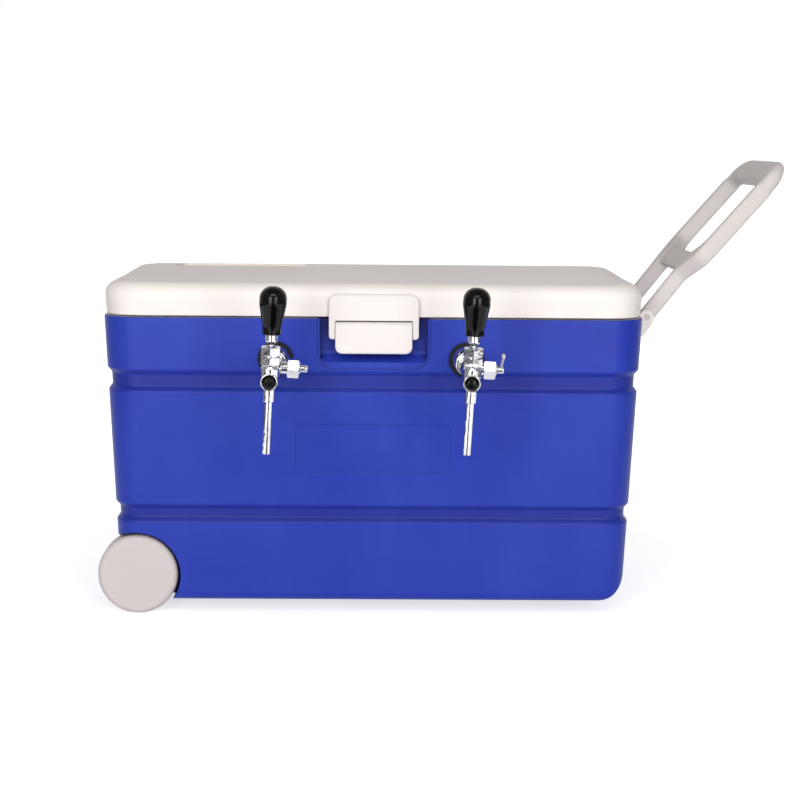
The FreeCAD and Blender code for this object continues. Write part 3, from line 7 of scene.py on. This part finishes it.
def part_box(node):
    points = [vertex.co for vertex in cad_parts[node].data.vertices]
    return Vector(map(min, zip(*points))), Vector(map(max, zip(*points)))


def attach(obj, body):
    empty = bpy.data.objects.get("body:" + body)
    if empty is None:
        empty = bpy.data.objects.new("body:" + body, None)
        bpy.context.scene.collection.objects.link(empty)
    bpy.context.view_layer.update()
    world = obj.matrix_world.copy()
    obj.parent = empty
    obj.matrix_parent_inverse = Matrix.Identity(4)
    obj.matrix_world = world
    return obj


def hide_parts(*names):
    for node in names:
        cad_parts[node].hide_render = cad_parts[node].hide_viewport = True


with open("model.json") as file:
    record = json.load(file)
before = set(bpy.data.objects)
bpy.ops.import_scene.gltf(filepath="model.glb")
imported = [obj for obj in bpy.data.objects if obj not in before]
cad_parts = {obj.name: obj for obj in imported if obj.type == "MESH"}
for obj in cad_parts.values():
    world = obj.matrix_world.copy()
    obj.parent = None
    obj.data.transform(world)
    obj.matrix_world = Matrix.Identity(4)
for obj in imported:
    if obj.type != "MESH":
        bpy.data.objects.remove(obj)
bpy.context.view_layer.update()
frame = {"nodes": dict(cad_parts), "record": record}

nodes = frame["nodes"]
subparts = frame["record"]["subparts"]
bodyNodes = frame["record"]["behaviour"]["bodies"]
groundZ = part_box("wheel_front")[0].z
print("frame loaded:", len(nodes), "nodes")


class Signal:  # one output of a shader node; sums and products of these make Math nodes
    def __init__(self, socket):
        self.socket = socket
        self.tree = socket.id_data

    def node(self, kind, settings=None, sockets=None, output=0):
        made = self.tree.nodes.new(kind)
        for key, value in (settings or {}).items():
            setattr(made, key, value)
        for key, value in (sockets or {}).items():
            plug(made.inputs[key], value)
        return Signal(made.outputs[output])

    def maths(self, operation, first, second=0.0, clamped=False):
        settings = {"operation": operation, "use_clamp": clamped}
        return self.node("ShaderNodeMath", settings, {0: first, 1: second})

    def __add__(self, other):
        return self.maths("ADD", self, other)

    def __radd__(self, other):
        return self.maths("ADD", other, self)

    def __sub__(self, other):
        return self.maths("SUBTRACT", self, other)

    def __rsub__(self, other):
        return self.maths("SUBTRACT", other, self)

    def __mul__(self, other):
        return self.maths("MULTIPLY", self, other)

    def __rmul__(self, other):
        return self.maths("MULTIPLY", other, self)

    def __truediv__(self, other):
        return self.maths("DIVIDE", self, other)

    def __rtruediv__(self, other):
        return self.maths("DIVIDE", other, self)

    def __abs__(self):
        return self.maths("ABSOLUTE", self)


edgeSamples = 6
creviceSamples = 8


def plug(socket, value):  # a signal is linked, a plain value is set
    if isinstance(value, Signal):
        socket.id_data.links.new(value.socket, socket)
    else:
        socket.default_value = value


def clamp(signal):
    return signal.maths("ADD", signal, clamped=True)


def between(signal, low, high):  # 0 below low, 1 above high
    return clamp((signal - low) / (high - low))


def noise(place, scale, detail, rough, stretch=None):
    if stretch:
        place = place.node("ShaderNodeMapping", {}, {"Vector": place, "Scale": stretch})
    sockets = {"Vector": place, "Scale": scale, "Detail": detail, "Roughness": rough}
    return place.node("ShaderNodeTexNoise", {}, sockets)


def patches(place, low, high, **pattern):  # noise parted into clouds, specks or streaks
    return between(noise(place, **pattern), low, high)


def height(place):
    return place.node("ShaderNodeSeparateXYZ", {}, {"Vector": place}, "Z")


def mixColours(factor, first, second):  # by number, because a Mix node's sockets share their names
    return factor.node("ShaderNodeMix", {"data_type": "RGBA"}, {0: factor, 6: first, 7: second}, 2)


def bump(relief, strength, depth, softEdge=0.0006):  # fine relief over edges that look rounded
    edge = relief.node("ShaderNodeBevel", {"samples": edgeSamples}, {"Radius": softEdge})
    sockets = {"Height": relief, "Strength": strength, "Distance": depth, "Normal": edge}
    return relief.node("ShaderNodeBump", {}, sockets)


# Ambient occlusion, used as the mask for painted shade.
def crevice(place, reach, low, high):  # 1 deep in grooves and corners, 0 on open faces
    samples = {"samples": creviceSamples}
    openness = place.node("ShaderNodeAmbientOcclusion", samples, {"Distance": reach}, "AO")
    return 1.0 - between(openness, low, high)


def seenBy(start, *rays):  # 1 for these kinds of ray, 0 for all others
    first, *others = (start.node("ShaderNodeLightPath", output="Is " + ray + " Ray") for ray in rays)
    return clamp(sum(others, first))


def newFinish(name):
    material = bpy.data.materials.new(name)
    material.use_nodes = True
    shader = material.node_tree.nodes["Principled BSDF"]
    place = Signal(shader.outputs["BSDF"]).node("ShaderNodeTexCoord", output="Object")
    return material, shader, place


def finishShader(shader, values):
    for key, value in values.items():
        plug(shader.inputs[key], value)


def rgb(r, g, b):
    return (r, g, b, 1.0)


# The tub's blue moulding: clouded, wiped and scratched, with painted shade darkening its grooves and
# corners.
tubPlastic = {
    # The third colour is painted shade, mixed into the grooves and corners.
    "colour": rgb(0.012, 0.032, 0.36), "pale": rgb(0.028, 0.062, 0.44), "deep": rgb(0.002, 0.005, 0.12),
    "roughness": 0.38, "gloss": 0.32, "ior": 1.45,
    "cloud": {"scale": 7.0, "detail": 4.0, "rough": 0.6, "low": 0.35, "high": 0.75},
    "cloudTint": 0.45, "cloudRough": 0.10,
    "wipe": {"scale": 1.5, "detail": 4.0, "rough": 0.6, "low": 0.45, "high": 0.75,
             "stretch": (14.0, 14.0, 2.0)},
    "wipeTint": 0.2,
    "scratch": {"scale": 14.0, "detail": 3.0, "rough": 0.7, "low": 0.72, "high": 0.80,
                "stretch": (6.0, 6.0, 90.0)},
    "scratchTint": 0.15, "scratchRough": 0.1,
    "pebble": {"scale": 900.0, "detail": 2.0, "rough": 0.6},
    "wave": {"scale": 16.0, "detail": 1.0, "rough": 0.4}, "waveShare": 4.0,
    "relief": {"strength": 0.45, "depth": 0.00012, "softEdge": 0.0016},
    "corner": {"reach": 0.02, "low": 0.45, "high": 0.88},
    # Painted shade in the corners: at the label recess's height they are shaded this much, and beyond it
    # besideShade more.
    "panel": {"middle": 0.196, "inside": 0.030, "outside": 0.042},
    "panelShade": 0.3, "besideShade": 0.6,
    "grooves": ({"middle": 0.111, "half": 0.0055}, {"middle": 0.278, "half": 0.0075}),
    "flank": 0.008, "grooveShade": 0.42}


# The groove floors get painted shade, picked out by their height.
def grooveBands(place):  # 1 on the floors of the moulded grooves, fading over their flanks
    flank = tubPlastic["flank"]
    z = height(place)
    total = 0.0
    for groove in tubPlastic["grooves"]:
        away = abs(z - groove["middle"])
        total = total + clamp((groove["half"] + flank - away) / flank)
    return total


# Painted shade in corners and crevices, fainter at the label recess.
def cornerShade(place):
    tub = tubPlastic
    panel = tub["panel"]
    beside = between(abs(height(place) - panel["middle"]), panel["inside"], panel["outside"])
    return crevice(place, **tub["corner"]) * (tub["panelShade"] + beside * tub["besideShade"])


def makeTubPlastic():
    material, shader, place = newFinish("tubPlastic")
    tub = tubPlastic
    cloud = patches(place, **tub["cloud"])
    wipe = patches(place, **tub["wipe"])
    scratch = patches(place, **tub["scratch"])
    worn = mixColours(cloud * tub["cloudTint"] + wipe * tub["wipeTint"], tub["colour"], tub["pale"])
    marked = mixColours(scratch * tub["scratchTint"], worn, tub["pale"])
    # Painted shade: corners and groove floors are mixed towards the dark blue.
    shade = clamp(cornerShade(place) + grooveBands(place) * tub["grooveShade"])
    relief = noise(place, **tub["pebble"]) + noise(place, **tub["wave"]) * tub["waveShare"]
    finishShader(shader, {
        "Base Color": mixColours(shade, marked, tub["deep"]),
        "Roughness": tub["roughness"] + cloud * tub["cloudRough"] + scratch * tub["scratchRough"],
        "Normal": bump(relief, **tub["relief"]),
        "IOR": tub["ior"],
        "Specular IOR Level": tub["gloss"]})
    return material


# All the pale mouldings are clouded and specked with a warmer tone; each has its own colours.
paleMarks = {
    "cloud": {"scale": 7.0, "detail": 3.0, "rough": 0.55, "low": 0.35, "high": 0.8},
    "cloudTint": 0.35, "cloudRough": 0.08,
    "speck": {"scale": 420.0, "detail": 1.0, "rough": 0.5, "low": 0.76, "high": 0.82},
    "speckTint": 0.25,
    "grain": {"detail": 2.0, "rough": 0.55},
    "wave": {"scale": 12.0, "detail": 1.0, "rough": 0.4}, "waveShare": 3.0,
    "relief": {"strength": 0.35, "depth": 0.00009}, "ior": 1.46}

lidPlastic = {
    "colour": rgb(0.86, 0.80, 0.765), "warm": rgb(0.80, 0.72, 0.66), "roughness": 0.42, "grain": 1400.0}
linerPlastic = {
    "colour": rgb(0.82, 0.82, 0.80), "warm": rgb(0.74, 0.73, 0.69), "roughness": 0.3, "grain": 1600.0}
handlePlastic = {
    "colour": rgb(0.64, 0.59, 0.575), "warm": rgb(0.54, 0.485, 0.465), "roughness": 0.5, "grain": 1100.0}
wheelPlastic = {
    "colour": rgb(0.61, 0.55, 0.54), "warm": rgb(0.53, 0.465, 0.445), "roughness": 0.55, "grain": 900.0}
hosePlastic = {
    "colour": rgb(0.70, 0.73, 0.70), "warm": rgb(0.62, 0.62, 0.50), "roughness": 0.25, "grain": 700.0}
latchPlastic = {
    "colour": rgb(0.81, 0.755, 0.74), "warm": rgb(0.76, 0.70, 0.67), "roughness": 0.45, "grain": 1500.0}


def makePalePlastic(name, plastic):
    material, shader, place = newFinish(name)
    marks = paleMarks
    cloud = patches(place, **marks["cloud"])
    speck = patches(place, **marks["speck"])
    tint = cloud * marks["cloudTint"] + speck * marks["speckTint"]
    grain = noise(place, plastic["grain"], **marks["grain"])
    wave = noise(place, **marks["wave"])
    finishShader(shader, {
        "Base Color": mixColours(tint, plastic["colour"], plastic["warm"]),
        "Roughness": plastic["roughness"] + cloud * marks["cloudRough"],
        "Normal": bump(grain + wave * marks["waveShare"], **marks["relief"]),
        "IOR": marks["ior"]})
    return material


# The chrome of the taps and shanks: hazed here and there, and rippled, which breaks up reflections.
chromePlate = {
    "colour": rgb(0.66, 0.66, 0.68), "dull": rgb(0.42, 0.42, 0.44), "roughness": 0.07,
    "haze": {"scale": 60.0, "detail": 3.0, "rough": 0.6, "low": 0.45, "high": 0.85}, "hazeRough": 0.10,
    "ripple": {"scale": 130.0, "detail": 1.0, "rough": 0.4},
    "relief": {"strength": 0.6, "depth": 0.0004}}


def makeChrome():
    material, shader, place = newFinish("chromePlate")
    chrome = chromePlate
    haze = patches(place, **chrome["haze"])
    finishShader(shader, {
        "Base Color": mixColours(haze, chrome["colour"], chrome["dull"]),
        "Metallic": 1.0,
        "Roughness": chrome["roughness"] + haze * chrome["hazeRough"],
        "Normal": bump(noise(place, **chrome["ripple"]), **chrome["relief"])})
    return material


brushedSteel = {
    "colour": rgb(0.58, 0.57, 0.55), "dull": rgb(0.36, 0.35, 0.34), "roughness": 0.26,
    "grain": {"scale": 90.0, "detail": 3.0, "rough": 0.7, "stretch": (1.0, 1.0, 22.0)}, "grainRough": 0.16,
    "stain": {"scale": 22.0, "detail": 4.0, "rough": 0.6, "low": 0.5, "high": 0.8}, "stainTint": 0.6,
    "relief": {"strength": 0.2, "depth": 0.00005}}


def makeSteel():
    material, shader, place = newFinish("brushedSteel")
    steel = brushedSteel
    grain = noise(place, **steel["grain"])
    stain = patches(place, **steel["stain"])
    finishShader(shader, {
        "Base Color": mixColours(stain * steel["stainTint"], steel["colour"], steel["dull"]),
        "Metallic": 1.0,
        "Roughness": steel["roughness"] + grain * steel["grainRough"],
        "Normal": bump(grain, **steel["relief"])})
    return material


knobPlastic = {
    "colour": rgb(0.0015, 0.0015, 0.002), "dusty": rgb(0.008, 0.008, 0.009),
    "roughness": 0.09, "gloss": 0.2,
    "dust": {"scale": 500.0, "detail": 2.0, "rough": 0.7, "low": 0.62, "high": 0.8}, "dustTint": 0.7,
    "swirl": {"scale": 30.0, "detail": 3.0, "rough": 0.6, "low": 0.4, "high": 0.8}, "swirlRough": 0.08,
    "relief": {"strength": 0.1, "depth": 0.0002}}


def makeKnobPlastic():
    material, shader, place = newFinish("knobPlastic")
    knob = knobPlastic
    dust = patches(place, **knob["dust"])
    swirl = patches(place, **knob["swirl"])
    finishShader(shader, {
        "Base Color": mixColours(dust * knob["dustTint"], knob["colour"], knob["dusty"]),
        "Roughness": knob["roughness"] + swirl * knob["swirlRough"],
        "Normal": bump(swirl, **knob["relief"]),
        "Specular IOR Level": knob["gloss"]})
    return material


blackRubber = {
    "colour": rgb(0.005, 0.005, 0.006), "bloomed": rgb(0.016, 0.016, 0.017),
    "roughness": 0.62, "gloss": 0.25,
    "bloom": {"scale": 70.0, "detail": 4.0, "rough": 0.6, "low": 0.4, "high": 0.8}, "bloomRough": 0.15,
    "grain": {"scale": 1500.0, "detail": 2.0, "rough": 0.6},
    "relief": {"strength": 0.5, "depth": 0.0001}}


def makeRubber():
    material, shader, place = newFinish("blackRubber")
    rubber = blackRubber
    bloom = patches(place, **rubber["bloom"])
    finishShader(shader, {
        "Base Color": mixColours(bloom, rubber["colour"], rubber["bloomed"]),
        "Roughness": rubber["roughness"] + bloom * rubber["bloomRough"],
        "Normal": bump(noise(place, **rubber["grain"]), **rubber["relief"]),
        "Specular IOR Level": rubber["gloss"]})
    return material


foamFill = {
    "colour": rgb(0.80, 0.68, 0.42), "pore": rgb(0.58, 0.45, 0.24), "roughness": 0.9,
    "cells": 480.0, "poreEdge": (0.1, 0.5), "relief": {"strength": 0.6, "depth": 0.0006}}


def makeFoam():
    material, shader, place = newFinish("foamFill")
    foam = foamFill
    sockets = {"Vector": place, "Scale": foam["cells"]}
    cells = place.node("ShaderNodeTexVoronoi", {"feature": "F1"}, sockets)
    pores = 1.0 - between(cells, *foam["poreEdge"])
    finishShader(shader, {
        "Base Color": mixColours(pores, foam["colour"], foam["pore"]),
        "Roughness": foam["roughness"],
        "Normal": bump(cells, **foam["relief"])})
    return material


finishes = {
    "blue_plastic": makeTubPlastic(),
    "white_plastic": makePalePlastic("lidPlastic", lidPlastic),
    "chrome": makeChrome(),
    "liner_plastic": makePalePlastic("linerPlastic", linerPlastic),
    "handle_plastic": makePalePlastic("handlePlastic", handlePlastic),
    "wheel_plastic": makePalePlastic("wheelPlastic", wheelPlastic),
    "steel": makeSteel(),
    "hose_plastic": makePalePlastic("hosePlastic", hosePlastic),
    "black_plastic": makeKnobPlastic(),
    "black_rubber": makeRubber(),
    "foam": makeFoam()}

for part in subparts:
    holder = nodes[part["node"]]
    finish = finishes[part["material_slot"]]
    if not holder.material_slots:
        holder.data.materials.append(finish)
    for slot in holder.material_slots:
        slot.material = finish
print("finishes on", len(nodes), "nodes")


mergeWithin = 0.00002  # metres
meltFactor = 0.5


def mergedCopy(node, name):  # a node's mesh is loose triangles, so its copy is merged
    bpy.ops.object.select_all(action="DESELECT")
    nodes[node].select_set(True)
    bpy.context.view_layer.objects.active = nodes[node]
    bpy.ops.object.duplicate()
    piece = bpy.context.object
    piece.name = name
    piece.data.name = name
    bpy.ops.object.mode_set(mode="EDIT")
    bpy.ops.mesh.select_all(action="SELECT")
    bpy.ops.mesh.remove_doubles(threshold=mergeWithin)
    bpy.ops.object.mode_set(mode="OBJECT")
    return piece


def meltEdges(piece, repeats, chosen=None):  # chosen picks the points that move, by their place
    bpy.ops.object.mode_set(mode="EDIT")
    bpy.ops.mesh.select_mode(type="VERT")
    bpy.ops.mesh.select_all(action="SELECT" if chosen is None else "DESELECT")
    bpy.ops.object.mode_set(mode="OBJECT")
    if chosen is not None:
        for point in piece.data.vertices:
            point.select = chosen(point.co)
    bpy.ops.object.mode_set(mode="EDIT")
    bpy.ops.mesh.vertices_smooth(factor=meltFactor, repeat=repeats)
    bpy.ops.object.mode_set(mode="OBJECT")


def softenedCopy(moulding):  # the node's own shape, with its edges melted as a mould leaves them
    piece = mergedCopy(moulding["node"], moulding["name"])
    bpy.ops.object.modifier_add(type="REMESH")
    remesh = piece.modifiers[-1]
    remesh.mode = "VOXEL"
    remesh.voxel_size = moulding["voxel"]
    bpy.ops.object.modifier_apply(modifier=remesh.name)
    meltEdges(piece, moulding["melt"])
    bpy.ops.object.shade_smooth()
    return piece


def standIn(piece, node, finish):  # the piece takes the node's place and body, and wears the given finish
    body = next(name for name, held in bodyNodes.items() if node in held)
    piece.data.materials.clear()
    piece.data.materials.append(finish)
    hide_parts(node)
    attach(piece, body)


# The handle slopes up at this angle from its pivot, and its grip starts at gripFrom along it.
handle = {
    "node": "tow_handle", "name": "handleMoulding", "voxel": 0.0014, "melt": 30, "gripMelt": 110,
    "pivot": (0.3465, 0.3547), "angle": 52.0, "gripFrom": 0.215}


def onGrip(point):
    angle = math.radians(handle["angle"])
    pivotX, pivotZ = handle["pivot"]
    along = (point.x - pivotX) * math.cos(angle) + (point.z - pivotZ) * math.sin(angle)
    return along > handle["gripFrom"]


def makeHandle():
    piece = softenedCopy(handle)
    meltEdges(piece, handle["gripMelt"], onGrip)
    standIn(piece, handle["node"], finishes["handle_plastic"])


housing = {"node": "latch_housing", "name": "latchHousing", "voxel": 0.0006, "melt": 5}
flap = {"node": "latch_flap", "name": "latchFlap", "voxel": 0.00055, "melt": 4}


def makeLatch():
    finish = makePalePlastic("latchPlastic", latchPlastic)
    for moulding in (housing, flap):
        standIn(softenedCopy(moulding), moulding["node"], finish)


makeHandle()
print("handle moulding ready")
makeLatch()
print("latch ready")


# The floor is white to the camera and in reflections, a little less near the object.
floorSheet = {
    "size": 60.0, "colour": rgb(0.80, 0.80, 0.80), "roughness": 0.95,
    "near": 0.5, "far": 1.3, "nearGlow": 0.66, "dark": rgb(0, 0, 0), "white": rgb(1, 1, 1)}


def addFloor():
    bpy.ops.mesh.primitive_plane_add(size=floorSheet["size"], location=(0.0, 0.0, groundZ))
    floor = bpy.context.object
    floor.name = "studioFloor"
    material, shader, place = newFinish("studioFloor")
    seen = seenBy(place, "Camera", "Glossy")
    distance = place.node("ShaderNodeVectorMath", {"operation": "LENGTH"}, {"Vector": place}, "Value")
    away = between(distance, floorSheet["near"], floorSheet["far"])
    glow = seen * (floorSheet["nearGlow"] + away * (1.0 - floorSheet["nearGlow"]))
    finishShader(shader, {
        "Base Color": floorSheet["colour"],
        "Roughness": floorSheet["roughness"],
        "Emission Color": mixColours(glow, floorSheet["dark"], floorSheet["white"]),
        "Emission Strength": 1.0})
    floor.data.materials.append(material)


# The air is white too where it is seen, and lights the object by its ambient share alone.
air = {"colour": rgb(1, 1, 1), "ambient": 0.27}


def paintWorld():
    world = bpy.data.worlds.new("studioAir")
    bpy.context.scene.world = world
    world.use_nodes = True
    back = world.node_tree.nodes["Background"]
    seen = seenBy(Signal(back.outputs["Background"]), "Camera", "Glossy", "Transmission")
    plug(back.inputs["Strength"], air["ambient"] + seen * (1.0 - air["ambient"]))
    plug(back.inputs["Color"], air["colour"])


# Cards round the object, which only reflections see, so that the chrome has edges.
cardZ = groundZ + 0.001  # just off the floor
cards = {
    "behind": {"place": (0.0, -3.4, 0.8), "turn": (90, 0, 0), "size": (7.0, 4.0), "glow": 0.50},
    "left": {"place": (-2.0, -0.9, 0.6), "turn": (0, 90, 0), "size": (3.4, 3.0), "glow": 0.35},
    "right": {"place": (2.0, -0.9, 0.6), "turn": (0, 90, 0), "size": (3.4, 3.0), "glow": 0.35},
    "above": {"place": (0.0, -0.9, 2.6), "turn": (0, 0, 0), "size": (4.0, 3.4), "glow": 0.30},
    "lowMiddle": {"place": (0.0, -1.95, cardZ), "turn": (0, 0, 0), "size": (0.60, 2.9), "glow": 0.03},
    "lowLeft": {"place": (-2.7, -0.9, cardZ), "turn": (0, 0, 0), "size": (2.4, 5.0), "glow": 0.03},
    "lowRight": {"place": (2.7, -0.9, cardZ), "turn": (0, 0, 0), "size": (2.4, 5.0), "glow": 0.03}}
cardSurface = {"colour": rgb(0.01, 0.01, 0.01), "roughness": 0.9}
raysPastCards = ("camera", "diffuse", "shadow", "transmission", "volume_scatter")


def addCard(name, card):
    material, shader = newFinish("card_" + name)[:2]
    glow = card["glow"]
    finishShader(shader, {
        "Base Color": cardSurface["colour"],
        "Roughness": cardSurface["roughness"],
        "Emission Color": rgb(glow, glow, glow),
        "Emission Strength": 1.0})
    turn = [math.radians(angle) for angle in card["turn"]]
    bpy.ops.mesh.primitive_plane_add(size=1.0, location=card["place"], rotation=turn)
    sheet = bpy.context.object
    sheet.name = "card_" + name
    sheet.scale = (*card["size"], 1.0)
    sheet.data.materials.append(material)
    for ray in raysPastCards:
        setattr(sheet, "visible_" + ray, False)


# Soft lamps. Those that aren't mirrored light the object but don't show in its reflections.
lamps = {
    "keyBox": {"place": (-1.0, -2.7, 0.75), "aim": (0, 0, 0.25), "size": (0.9, 1.3),
               "power": 29.0, "mirrored": True},
    "fillBox": {"place": (1.05, -2.6, 0.7), "aim": (0, 0, 0.25), "size": (0.9, 1.3),
                "power": 24.0, "mirrored": True},
    "topBox": {"place": (0.0, -2.1, 2.0), "aim": (0, 0, 0.2), "size": (1.6, 0.8),
               "power": 14.5, "mirrored": True},
    "backBox": {"place": (0.4, 3.0, 0.8), "aim": (0, 0, 0.25), "size": (1.6, 1.2),
                "power": 10.0, "mirrored": False}}


def addLamp(name, settings):
    lamp = bpy.data.lights.new(name, "AREA")
    lamp.shape = "RECTANGLE"
    lamp.size, lamp.size_y = settings["size"]
    lamp.energy = settings["power"]
    holder = bpy.data.objects.new(name, lamp)
    bpy.context.collection.objects.link(holder)
    holder.visible_glossy = settings["mirrored"]
    holder.location = settings["place"]
    beam = Vector(settings["aim"]) - Vector(settings["place"])
    holder.rotation_euler = beam.to_track_quat("-Z", "Y").to_euler()


# The photograph's view, from a little above straight in front.
shot = {"place": (0.0, -2.380, 0.5778), "pitch": 8.25, "yaw": 0.85, "roll": 0.5,
        "lens": 81.45, "sensor": 36.0}


def addCamera():
    pitch, yaw, roll = (math.radians(shot[turn]) for turn in ("pitch", "yaw", "roll"))
    ahead = Vector((math.sin(yaw) * math.cos(pitch), math.cos(yaw) * math.cos(pitch), -math.sin(pitch)))
    flat = Vector((math.cos(yaw), -math.sin(yaw), 0.0))
    upright = flat.cross(ahead)
    right = flat * math.cos(roll) + upright * math.sin(roll)
    up = upright * math.cos(roll) - flat * math.sin(roll)
    data = bpy.data.cameras.new("photoCamera")
    data.lens = shot["lens"]
    data.sensor_width = shot["sensor"]
    camera = bpy.data.objects.new("photoCamera", data)
    bpy.context.collection.objects.link(camera)
    turn = Matrix((right, up, -ahead)).transposed().to_4x4()
    camera.matrix_world = Matrix.Translation(shot["place"]) @ turn
    bpy.context.scene.camera = camera


addFloor()
paintWorld()
for name, card in cards.items():
    addCard(name, card)
for name, settings in lamps.items():
    addLamp(name, settings)
addCamera()
bpy.context.scene.view_settings.view_transform = "Standard"
print("stage, light and camera ready")
